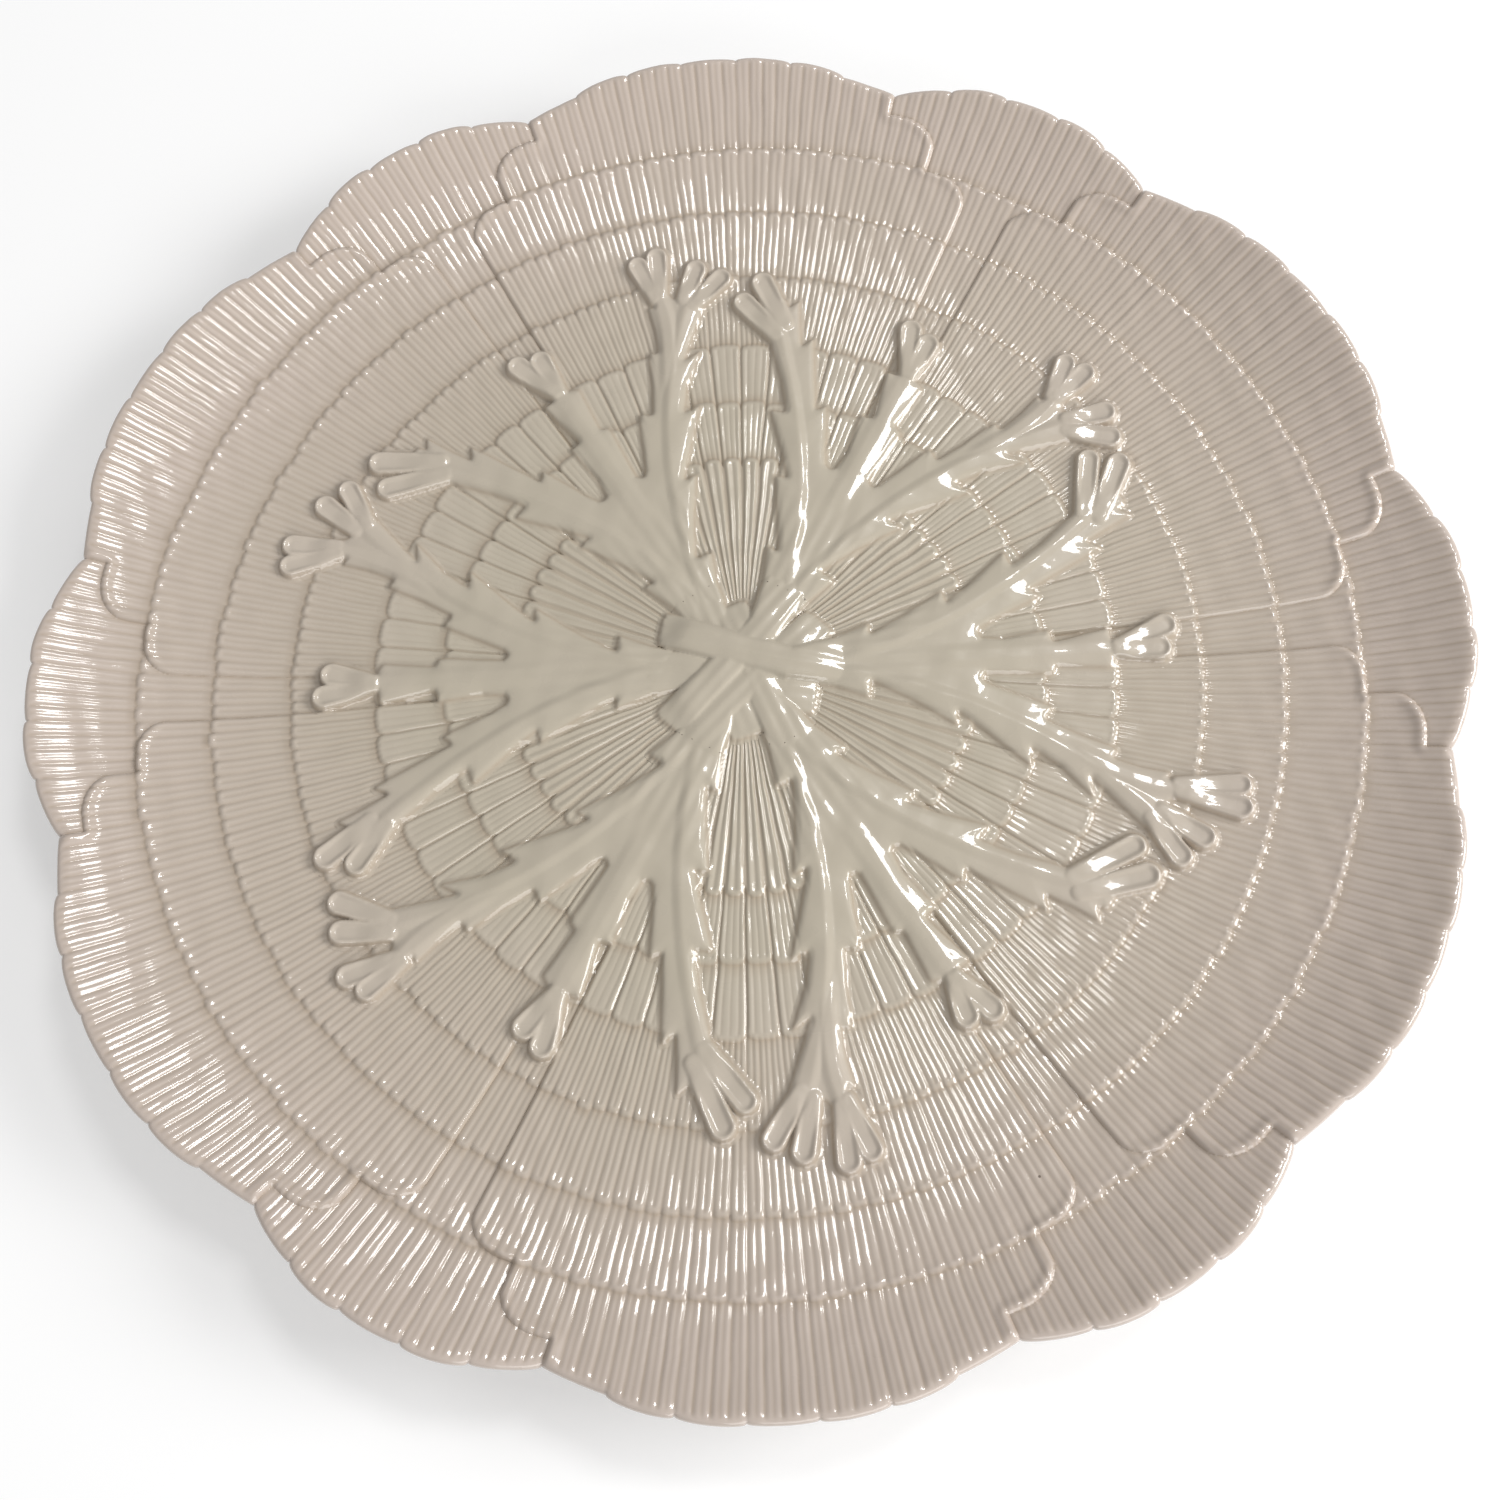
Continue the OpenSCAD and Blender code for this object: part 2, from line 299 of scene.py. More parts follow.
@dataclass(frozen=True)
class RoundCut:
    """Cuts narrow round ribs, with a faint line along each and a bead at its outer end.

    Angles are in degrees, heights in millimetres. The darkening in the grooves, pooled glaze and
    painted shade, goes with a power of the place across the rib, and the greater the power, the
    thinner the dark line.
    """

    pitch: float
    shift: float
    high: float
    dish: float
    groove_pool_and_shade: float
    groove_power: float
    dish_half: float = 0.27
    dish_pool_and_shade: float = 0.46
    bead: float = 0.11
    bead_inset: float = 1.1 * MM
    bead_half: float = 0.8 * MM

    def cut(self, degrees: Array, radius: Array, inset: Array) -> Cutting:
        """Cut the ribs: 1 - |place|^2.7 high, less the line's dish, and a hump near the end.

        Args:
            degrees: Polar angles.
            radius: Distances from the plate's middle, on which only fingers depend.
            inset: Distances inward from the ribs' outer ends.

        Returns:
            The cut ribs.
        """
        place, number = across(degrees, self.pitch, self.shift)
        side, line = np.abs(place), hump(place, self.dish_half) * past_end(inset)
        bead = self.bead * hump(inset - self.bead_inset, self.bead_half) * (1 - side * side)
        height = (self.high * (1 - side ** 2.7) - self.dish * line - 0.6 * self.high + bead) * MM
        # Darkening in the grooves and along the middle line: pooled glaze and painted shade.
        glaze = np.maximum(self.groove_pool_and_shade * side ** self.groove_power, self.dish_pool_and_shade * line)
        return Cutting(height, glaze, number, place)


RIB_CUTS = {
    Ribs.FINGER: FingerCut(),
    Ribs.LOBE: LobeCut(),
    Ribs.DOUBLE: RoundCut(pitch=5 / 3, shift=0.0, high=0.26, dish=0.16, groove_pool_and_shade=0.62, groove_power=2.4),
    Ribs.PLAIN: RoundCut(pitch=1.25, shift=0.625, high=0.30, dish=0.13, groove_pool_and_shade=0.95, groove_power=4.0)}


@dataclass(frozen=True)
class Tier:
    """One ring of ribs: its outer end, its ribs, how round their ends are in plan and in profile.

    The ends are half-ellipses where end_power is 2, and squarer where it is greater.
    """

    end_share: float
    ribs: Ribs
    end_pitch: float
    end_round: float
    end_power: float
    roll: float


@dataclass(frozen=True)
class ShellForm:
    """Sizes of the dish's face, the shells, their tiers and the rolled lip.

    The ears are the steps at a wide shell's outer corners: the polar angle of each from the
    shell's middle and the radius of its top.
    """

    floor: float = 11.4 * MM
    well_depth: float = 12.2 * MM
    flat_share: float = 0.4
    rise_power: float = 3.2
    flare: float = 0.5 * MM
    flare_share: float = 0.895
    flare_reach_share: float = 0.115
    flare_bend: float = 0.12
    step: float = 0.54 * MM
    step_foot: float = 0.15 * MM
    step_foot_reach: float = 0.9 * MM
    # Painted shade: how far the glaze colour darkens past the foot of a tier step.
    step_shade_reach: float = 1.3 * MM
    ear_drop: float = 0.62 * MM
    ear_slope: float = 1.1 * MM
    ear_bead: float = 0.38 * MM
    ear_bead_inset: float = 1.5 * MM
    # Painted shade: how far the glaze colour darkens outside an ear step.
    ear_shade_reach: float = 0.6 * MM
    root: float = 9 * MM
    narrow_root_share: float = 0.3
    wide_half: float = 17.5
    scallop: float = 5.0
    lip_roll: float = 3.1 * MM
    lip_band: float = 2.3 * MM
    lip_blend: float = 1.3 * MM
    lip_rise: float = 0.12 * MM
    lip_half: float = 2.5 * MM
    lip_thick: float = 5.5 * MM
    lip_under: float = 4 * MM
    thick: float = 2.6 * MM
    dish_edge: float = 155.3 * MM
    ears: tuple[tuple[float, float], ...] = ((27.5, 0.892), (22.5, 0.965))
    ear_round_share: float = 0.045
    ear_turn: float = 3.8
    wide_valleys: tuple[float, ...] = (1.0312, 1.0262, 1.0125, 0.998)
    wide_bulges: tuple[float, ...] = (0.0033, 0.0053, 0.0065, 0.0006)
    narrow_valleys: tuple[float, ...] = (1.0315, 1.0205, 0.998)
    narrow_bulges: tuple[float, ...] = (0.0043, 0.008, 0.0048)
    tiers: tuple[Tier, ...] = (
        Tier(0.349, Ribs.FINGER, 5.0, 2.3 * MM, 2.0, 1.7 * MM),
        Tier(0.448, Ribs.LOBE, 5.0, 2.0 * MM, 3.5, 1.8 * MM),
        Tier(0.5506, Ribs.LOBE, 5.0, 2.0 * MM, 3.5, 1.8 * MM),
        Tier(0.6736, Ribs.DOUBLE, 5 / 3, 0.8 * MM, 2.6, 1.9 * MM),
        Tier(0.7875, Ribs.DOUBLE, 5 / 3, 0.75 * MM, 2.6, 1.9 * MM),
        Tier(0.892, Ribs.DOUBLE, 5 / 3, 0.85 * MM, 2.6, 1.9 * MM),
        Tier(1.035, Ribs.PLAIN, 5.0, 0.0, 2.0, 1.0 * MM))

    def face(self, radius: Array) -> Array:
        """Return the mean face: flat, then the share beyond the flat part to the rise power."""
        beyond = (radius / NOTCH - self.flat_share) / (1 - self.flat_share)
        return self.floor + self.well_depth * np.maximum(beyond, 0.0) ** self.rise_power

    def flared(self, radius: Array) -> Array:
        """Return the shells' face, which lifts more evenly over the rim, softly from its start."""
        out = np.clip((radius / NOTCH - self.flare_share) / self.flare_reach_share, 0.0, 1.3)
        return self.face(radius) + self.flare * (out - self.flare_bend * (1 - np.exp(-out / self.flare_bend)))

    def rim(self, degrees: Array) -> Array:
        """Work out the rim: half-ellipse scallops of 5 degrees that bulge between their valleys.

        Args:
            degrees: Polar angles.

        Returns:
            The rim's radius at each.
        """
        turn = np.abs(degrees % SECTOR - HALF_SECTOR)
        wide = turn <= self.wide_half
        place = np.where(wide, turn, HALF_SECTOR - turn) / (self.scallop / 2)
        last = np.where(wide, len(self.wide_valleys) - 1, len(self.narrow_valleys) - 1)
        lobe = np.minimum(np.floor((place + 1) / 2).astype(int), last)
        before = np.maximum(lobe - 1, 0)
        valleys = np.array([self.wide_valleys, self.narrow_valleys + (0.0,)])
        bulges = np.array([self.wide_bulges, self.narrow_bulges + (0.0,)])
        side = np.where(wide, 0, 1)
        outer, inner = valleys[side, lobe], valleys[side, before]
        t = (place - (2 * lobe - 1)) / 2
        level = np.where(lobe == 0, outer, inner + (outer - inner) * t)
        off = np.where(lobe == 0, place, np.abs(2 * t - 1))
        return NOTCH * (level + bulges[side, lobe] * np.sqrt(np.maximum(0.0, 1 - off * off)))

    def crest(self, radius: Array) -> Array:
        """Return the height of the rib crests near the rim, from which the lip rolls over."""
        first = self.tiers[5].end_share * NOTCH
        last = self.tiers[6].end_share * NOTCH
        return self.flared(radius) + self.step * ((radius - first) / (last - first) - 0.5) + self.lip_rise

    def wide_outline(self) -> Array:
        """Draw the outline of a wide shell about the X axis: root, two ears a side, far arc.

        An ear's outer corner is a quarter of an ellipse, and its inner one is square.

        Returns:
            The outline's corners, one row each.
        """
        bend = np.radians(np.linspace(0.0, 90.0, 15))
        near = self.narrow_root_share * NOTCH
        side = [polar(np.array([self.root / 2, near]), HALF_SECTOR), polar(np.array([near]), self.ears[0][0])]
        for first, top in self.ears:
            radius = NOTCH * (top + self.ear_round_share * (np.sin(bend) - 1))
            side.append(polar(radius, first - self.ear_turn * (1 - np.cos(bend))))
            side.append(polar(np.array([NOTCH * top]), first - self.scallop))
        far = polar(1.2 * NOTCH, np.linspace(self.wide_half, -self.wide_half, 12))
        left = np.concatenate(side)
        return np.concatenate([left, far, left[::-1] * [1, -1]])


@dataclass(frozen=True)
class HandWork:
    """How far the hand and the glaze leave the ribs uneven: spreads and heights of waves."""

    rib_height: float = 0.03 * MM
    rib_lean: float = 0.035 * MM
    rib_end: float = 0.2 * MM
    broad_sway: float = 0.07 * MM
    short_sway: float = 0.045 * MM
    broad_glaze: float = 0.034 * MM
    short_glaze: float = 0.005 * MM


class ShellRelief:
    """Heights of the ribbed shells, without the sprays."""

    def __init__(self, form: ShellForm, hand: HandWork) -> None:
        """Set out the ribs' own small differences and the glaze's unevenness.

        Args:
            form: Sizes of the shells.
            hand: How uneven they are.
        """
        rng = np.random.default_rng(7)
        most_ribs = 300
        self.form = form
        self.hand = hand
        self.rib_height = rng.normal(0, hand.rib_height, (TIERS, most_ribs))
        self.rib_lean = rng.normal(0, hand.rib_lean, (TIERS, most_ribs))
        self.rib_end = rng.normal(0, hand.rib_end, (TIERS, most_ribs))
        self.sway = (Waves(3, 26 * MM), Waves(4, 6.5 * MM))
        self.glaze = (Waves(5, 7 * MM), Waves(6, 2.8 * MM))
        self.outline = form.wide_outline()

    def wide_distance(self, x: Array, y: Array) -> Array:
        """Return the distance to the outline of the nearest wide shell, negative inside."""
        return outline_distance(polar(np.hypot(x, y), bearing(x, y) % SECTOR - HALF_SECTOR), self.outline)

    def height(self, x: Array, y: Array) -> tuple[Array, Array]:
        """Work out the shells' top.

        Each tier follows the mean face, climbs by one step to its outer end and drops there to
        the next: the drop rolls over like a part of an ellipse and follows the ribs' round ends.
        The narrow shells lie lower beyond the wide shells' outline, which has a thin bead.
        Towards the rim the ribs die out into a quarter-round lip.

        Args:
            x: Places along X.
            y: Places along Y.

        Returns:
            Heights, and the depth of glaze from 0 to 1, with painted shade on the tier steps and beside the
            ears.
        """
        form, hand = self.form, self.hand
        radius = np.hypot(x, y)
        sway = hand.broad_sway * self.sway[0].at(x, y) + hand.short_sway * self.sway[1].at(x, y)
        degrees = np.degrees(np.arctan2(y, x) + sway / np.maximum(radius, 25 * MM)) % 360.0
        level = form.flared(radius)
        total = pool_and_shade = front = None
        start = 0.0
        for k, tier in enumerate(form.tiers):
            end = tier.end_share * NOTCH
            place, number = across(degrees, tier.end_pitch)
            round_end = np.sqrt(1 - 0.98 * np.abs(place) ** tier.end_power) - 1
            ahead = end + tier.end_round * round_end + self.rib_end[k][number]
            ribs = RIB_CUTS[tier.ribs].cut(degrees, radius, ahead - radius)
            climb = form.step * np.clip((radius - start) / (end - start) - 0.5, -0.7, 0.7)
            own = self.rib_height[k][ribs.number] + self.rib_lean[k][ribs.number] * ribs.place
            height = level + climb + ribs.height + own * (1 - ribs.place ** 4)
            if front is None:
                total, pool_and_shade = height, ribs.glaze
            else:
                beyond, past = radius > front, np.maximum(radius - front, 0.0)
                turn = np.clip((radius - front) / roll + 1, 0, 1)
                drop = np.where(beyond, 1.0, (1 - np.sqrt(1 - 0.5 * turn * turn)) / (1 - np.sqrt(0.5)))
                foot = form.step_foot * np.exp(-past / form.step_foot_reach)
                total = total + (height + foot - total) * drop
                # Painted shade: the glaze colour darkens on each tier's drop and at the foot beyond it, where
                # the step shades the face.
                shade = np.exp(-past / form.step_shade_reach)
                pool_and_shade = np.where(beyond, np.maximum(ribs.glaze, shade), np.maximum(pool_and_shade, turn ** 3))
            front, start, roll = ahead, end, tier.roll
        gap = self.wide_distance(x, y)
        edge = form.ear_drop * np.where(gap > 0, 1.0, np.clip(1 + gap / form.ear_slope, 0, 1) ** 2.4)
        bead = hump(gap + form.ear_bead_inset, 1.0 * MM) * smooth_step((radius / NOTCH - 0.84) / 0.05)
        total = total - edge + form.ear_bead * bead
        # Painted shade: the glaze colour darkens just outside the wide shells' ear steps.
        pool_and_shade = np.maximum(pool_and_shade, np.where(gap > 0, np.exp(-np.maximum(gap, 0) / form.ear_shade_reach), 0.0))
        lip = form.rim(bearing(x, y)) - radius
        band = smooth_step((form.lip_band - lip) / form.lip_blend)
        total = total + (form.crest(radius) - edge - total) * band
        t = np.clip(1 - lip / form.lip_roll, 0, 1)
        total = total - form.lip_half * (1 - np.sqrt(np.maximum(0.0, 1 - t * t)))
        total = total + hand.broad_glaze * self.glaze[0].at(x, y) + hand.short_glaze * self.glaze[1].at(x, y)
        return total, pool_and_shade * (1 - band)

    def under(self, x: Array, y: Array) -> Array:
        """Work out the shells' lower side, hidden on the dish and a quarter-round under the lip.

        Args:
            x: Places along X.
            y: Places along Y.

        Returns:
            Heights.
        """
        form = self.form
        radius = np.hypot(x, y)
        rim = form.rim(bearing(x, y))
        out = form.crest(rim) - form.ear_drop * (self.wide_distance(x, y) > 0) - form.lip_half
        t = np.clip(1 - (rim - radius) / form.lip_under, 0, 1)
        lip = out + (form.face(radius) - form.lip_thick - out) * np.sqrt(np.maximum(0.0, 1 - t * t))
        return np.where(radius > form.dish_edge - 0.01 * MM, lip, form.face(radius) - form.thick)


@dataclass(frozen=True)
class Pod:
    """A seed pod between two round ends, in shares, and the group whose drift moves its tip."""

    root: tuple[float, float]
    root_radius: float
    tip: tuple[float, float]
    tip_radius: float
    group: int


@dataclass(frozen=True)
class Branch:
    """A raised band on a spray, along a line of places in shares.

    With outer 0 the line is the band's middle and reach half its width. Otherwise the line is the
    band's steep inner edge, from which it slopes down over its reach, to the right if outer is 1.
    """

    line: tuple[tuple[float, float], ...]
    reach: float
    rise: float
    outer: int = 0


@dataclass(frozen=True)
class SprayForm:
    """Shapes of the sprays in shares of the notch radius: across and along each spray's axis.

    The fan is a spray's outline without its pods. The drifts move the tips of the four groups of
    pods on each spray. A stalk is the stem that runs on across the middle; its reach is a share,
    its swing is in degrees and its level counts from the lowest.
    """

    fan: tuple[tuple[float, float], ...] = (
        (-0.028, 0.100), (-0.036, 0.135), (-0.055, 0.190), (-0.037, 0.189), (-0.066, 0.245),
        (-0.100, 0.302), (-0.079, 0.306), (-0.116, 0.352), (-0.157, 0.400), (-0.133, 0.408),
        (-0.165, 0.455), (-0.205, 0.502), (-0.245, 0.535), (-0.252, 0.578), (-0.222, 0.590),
        (-0.213, 0.577), (-0.203, 0.597), (-0.180, 0.553), (-0.163, 0.524), (-0.153, 0.547),
        (-0.120, 0.483), (-0.092, 0.431), (-0.081, 0.447), (-0.062, 0.405), (-0.047, 0.372),
        (-0.036, 0.353), (-0.028, 0.348), (-0.021, 0.354), (-0.018, 0.385), (-0.026, 0.455),
        (-0.008, 0.457), (-0.014, 0.490), (-0.024, 0.541), (-0.002, 0.543), (-0.006, 0.570),
        (0.028, 0.570), (0.026, 0.543), (0.040, 0.537), (0.031, 0.457), (0.044, 0.453),
        (0.037, 0.385), (0.035, 0.356), (0.042, 0.348), (0.051, 0.355), (0.066, 0.385),
        (0.080, 0.415), (0.096, 0.447), (0.112, 0.432), (0.138, 0.475), (0.166, 0.531),
        (0.178, 0.521), (0.195, 0.560), (0.207, 0.600), (0.215, 0.594), (0.222, 0.630),
        (0.246, 0.630), (0.250, 0.588), (0.280, 0.600), (0.300, 0.578), (0.285, 0.553),
        (0.248, 0.522), (0.205, 0.487), (0.235, 0.487), (0.185, 0.445), (0.155, 0.408),
        (0.183, 0.405), (0.135, 0.355), (0.092, 0.308), (0.114, 0.306), (0.070, 0.245),
        (0.036, 0.187), (0.062, 0.183), (0.042, 0.135), (0.034, 0.100))
    branches: tuple[Branch, ...] = (
        Branch(((0.012, 0.130), (0.001, 0.200), (-0.015, 0.245), (-0.038, 0.293), (-0.062, 0.345),
                (-0.090, 0.395), (-0.122, 0.444), (-0.165, 0.505), (-0.205, 0.550)), 8.5 * MM, 0.62 * MM, -1),
        Branch(((0.000, 0.130), (0.017, 0.200), (0.032, 0.250), (0.055, 0.300), (0.085, 0.358),
                (0.115, 0.410), (0.152, 0.470), (0.200, 0.530), (0.250, 0.572)), 8.5 * MM, 0.62 * MM, 1),
        Branch(((0.006, 0.270), (0.008, 0.350), (0.009, 0.450), (0.010, 0.565)), 2.6 * MM, 0.28 * MM),
        Branch(((0.150, 0.440), (0.186, 0.500), (0.213, 0.550), (0.229, 0.600), (0.233, 0.625)),
               2.3 * MM, 0.5 * MM))
    pods: tuple[Pod, ...] = (
        Pod((0.006, 0.548), 0.012, (-0.011, 0.620), 0.0205, 3),
        Pod((0.014, 0.548), 0.012, (0.023, 0.609), 0.020, 3),
        Pod((-0.205, 0.548), 0.017, (-0.277, 0.597), 0.0205, 0),
        Pod((-0.210, 0.526), 0.017, (-0.288, 0.553), 0.0195, 0),
        Pod((0.226, 0.606), 0.013, (0.231, 0.673), 0.0185, 1),
        Pod((0.236, 0.606), 0.013, (0.264, 0.669), 0.0195, 1),
        Pod((0.262, 0.578), 0.014, (0.311, 0.620), 0.0195, 2),
        Pod((0.270, 0.562), 0.014, (0.336, 0.585), 0.0190, 2))
    drifts: tuple[tuple[tuple[float, float], ...], ...] = (
        ((-0.009, -0.011), (0.004, 0.018), (-0.005, 0.010), (-0.007, 0.000)),
        ((0.008, 0.000), (-0.008, -0.008), (0.000, -0.007), (-0.008, 0.000)),
        ((-0.007, -0.001), (0.002, -0.004), (-0.004, -0.008), (-0.008, 0.003)),
        ((0.022, 0.012), (-0.024, 0.004), (-0.007, 0.006), (0.003, 0.001)),
        ((-0.002, 0.009), (0.016, -0.011), (0.012, -0.011), (0.003, 0.000)),
        ((-0.018, -0.016), (0.005, 0.005), (0.001, 0.011), (0.004, -0.007)))
    stalk_reaches: tuple[float, ...] = (0.138, 0.142, 0.110, 0.120, 0.136, 0.100)
    stalk_swings: tuple[float, ...] = (29.5, 23.0, 28.0, 28.0, 31.6, 21.0)
    stalk_levels: tuple[int, ...] = (3, 2, 0, 0, 1, 1)
    stalk_half_share: float = 0.029
    stalk_round: float = 2.2 * MM
    stalk_fall: float = 7 * MM
    neck_share: float = 0.135
    neck_half_share: float = 0.036
    head_share: float = 0.165
    level_rise: float = 0.5 * MM
    edge_rise: float = 0.74 * MM
    crown_rise: float = 0.42 * MM
    crown_width: float = 5.5 * MM
    arm_edge: float = 2.6 * MM
    pod_rise: float = 1.95 * MM
    pod_dish: float = 0.85 * MM
    tip_round: float = 0.95 * MM
    line_rise: float = 0.055 * MM
    line_gap: float = 3.1 * MM
    foot: float = 1.1 * MM
    foot_fillet: float = 0.4 * MM


class SprayRelief:
    """Heights of the sprays and crossed stems over the mean face."""

    def __init__(self, form: SprayForm) -> None:
        """Round the fan's sharp tips and lay a cubic curve through each branch's line.

        Args:
            form: Shapes of the sprays.
        """
        self.form = form
        self.fan = self.rounded(np.array(form.fan) * NOTCH, form.tip_round)
        self.curves = [np.polyfit(*np.array(branch.line).T[::-1], 3) for branch in form.branches]

    @staticmethod
    def rounded(outline: Array, reach: float) -> Array:
        """Replace each sharp corner by three places of a parabola that touches both sides.

        Args:
            outline: Corners of a closed outline in order.
            reach: Greatest length cut off a side.

        Returns:
            The new corners.
        """
        back, ahead = np.roll(outline, 1, axis=0) - outline, np.roll(outline, -1, axis=0) - outline
        long_back, long_ahead = np.linalg.norm(back, axis=1), np.linalg.norm(ahead, axis=1)
        sharp = np.einsum("ij,ij->i", back, ahead) > -0.55 * long_back * long_ahead
        cut = np.minimum(reach, 0.45 * np.minimum(long_back, long_ahead)) * sharp
        near = outline + back * (cut / long_back)[:, None]
        far = outline + ahead * (cut / long_ahead)[:, None]
        middle = (near + far) / 4 + outline / 2
        return np.stack([near, middle, far], axis=1)[np.column_stack([sharp, np.ones_like(sharp), sharp])]

    @staticmethod
    def local(x: Array, y: Array, k: int) -> Array:
        """Return places as (across, along) of spray k, whose axis stands at 60 k degrees."""
        turn = np.radians(SECTOR * k)
        return np.stack([x * np.sin(turn) - y * np.cos(turn), x * np.cos(turn) + y * np.sin(turn)], axis=-1)

    def pod(self, p: Array, k: int, pod: Pod) -> tuple[Array, Array, Array, float]:
        """Place a pod: the space between two round ends of different size.

        Args:
            p: Places as (across, along).
            k: Number of the spray.
            pod: The pod's ends.

        Returns:
            Distance to its outline, share of the way to its tip, distance from its middle line,
            and the radius of its tip.
        """
        drift = np.array(self.form.drifts[k][pod.group])
        root, tip = np.array(pod.root) * NOTCH, (np.array(pod.tip) + drift) * NOTCH
        length = np.linalg.norm(tip - root)
        axis = (tip - root) / length
        along, side = (p - root) @ axis, np.abs((p - root) @ np.array([-axis[1], axis[0]]))
        grow = (pod.tip_radius - pod.root_radius) * NOTCH
        t = np.clip((along + side * grow / length) / length, 0, 1)
        gap = np.hypot(along - t * length, side) - pod.root_radius * NOTCH - grow * t
        return gap, t, np.hypot(along - np.clip(along, 0, length), side), pod.tip_radius * NOTCH

    def edge(self, p: Array, k: int) -> Array:
        """Return the distance to spray k's outline, negative inside."""
        gaps = [self.pod(p, k, pod)[0] for pod in self.form.pods]
        return np.min([outline_distance(p, self.fan)] + gaps, axis=0)

    def spray(self, p: Array, k: int) -> tuple[Array, Array]:
        """Shape spray k.

        The fan rises inside its outline by 1 - exp(-depth) to a low web. On it an arm stands up
        along its inner edge and slopes down outward, and a lesser branch is a flat band with soft
        shoulders. The trunk near the middle has soft lines along it. A pod is a dome between two
        round ends, with a dish pressed into its outer half, and flows into its stem.

        Args:
            p: Places as (across, along).
            k: Number of the spray.

        Returns:
            Distance to the outline, negative inside, and height over the mean face.
        """
        form = self.form
        outline = outline_distance(p, self.fan)
        side, along = (p / NOTCH).T
        band = np.zeros(len(p))
        for branch, curve in zip(form.branches, self.curves):
            slope = np.polyval(np.polyder(curve), along)
            off = (side - np.polyval(curve, along)) * NOTCH / np.sqrt(1 + slope * slope)
            first, last = branch.line[0][1], branch.line[-1][1]
            ends = smooth_step((along - first) / 0.05) * smooth_step((last + 0.03 - along) / 0.05)
            own = 1 - smooth_step(np.abs(off) / branch.reach - 0.35)
            if branch.outer:
                off = off * branch.outer
                own = smooth_step(off / form.arm_edge) * (1 - np.clip(off / branch.reach, 0, 1))
            own = own * branch.rise * ends
            band = joined(band, own, 0.6 * np.minimum(band, own) + 0.001 * MM)
        height = self.stem(-outline) + band * smooth_step(-outline / (1.6 * MM))
        trunk = smooth_step((0.33 - along) / 0.1) * smooth_step(-outline / (1.2 * MM) - 0.5)
        narrower = 1 - 0.9 * np.maximum(along - 0.13, 0.0)
        height = height + self.lines(side * NOTCH * narrower) * trunk
        for pod in form.pods:
            gap, t, middle, radius = self.pod(p, k, pod)
            dome = form.pod_rise * rise(-gap, 0.45 * MM) * (0.8 + 0.2 * t)
            dish = form.pod_dish * (1 - smooth_step(2 * middle / radius - 0.7)) * smooth_step(t * 1.6 - 0.2)
            raised = np.where(gap < 0, dome - dish, 0.0)
            outline = np.minimum(outline, gap)
            inside = smooth_step(-outline / (0.9 * MM))
            sharp = np.maximum(height, raised)
            height = sharp + (joined(height, raised, 0.35 * MM) - sharp) * inside
        return outline, height

    def stem(self, depth: Array) -> Array:
        """Return a web's or crossed stem's height at a depth inside its outline."""
        form = self.form
        near = 1 - np.clip(depth / form.crown_width, 0.0, 1.0)
        return form.edge_rise * rise(depth, 0.5 * MM) + form.crown_rise * (1 - near * near)

    def lines(self, off: Array) -> Array:
        """Return soft lines along a stem: a cosine of the distance off its middle."""
        return self.form.line_rise * np.cos(2 * np.pi * off / self.form.line_gap)

    def stalk_end(self, k: int) -> Array:
        """Return the far end of the stem that runs on from spray k, beyond the middle."""
        turn = np.radians(self.form.stalk_swings[k])
        return -self.form.stalk_reaches[k] * NOTCH * np.array([np.sin(turn), np.cos(turn)])

    def stalk_side(self, k: int) -> Array:
        """Find the direction square to the stem that runs on from spray k.

        Args:
            k: Number of the spray.

        Returns:
            A direction of length 1, as (across, along).
        """
        axis = np.array([0.0, self.form.neck_share * NOTCH]) - self.stalk_end(k)
        axis = axis / np.linalg.norm(axis)
        return np.array([-axis[1], axis[0]])

    def stalk(self, k: int, head_share: float) -> Array:
        """Draw the stem that runs on across the middle from spray k.

        Args:
            k: Number of the spray.
            head_share: How far its head goes back into the spray, as a share.

        Returns:
            Its outline's corners as (across, along), with sharp ones rounded.
        """
        form = self.form
        far, side = self.stalk_end(k), self.stalk_side(k) * form.stalk_half_share * NOTCH
        near = np.array([0.0, form.neck_share * NOTCH])
        neck = np.array([form.neck_half_share * NOTCH, 0.0])
        head = np.array([0.0, head_share * NOTCH])
        corners = [far + side, far - side, near / 2 - side, near + neck, head + neck,
                   head - neck, near - neck, near / 2 + side]
        return self.rounded(np.array(corners), form.stalk_round)

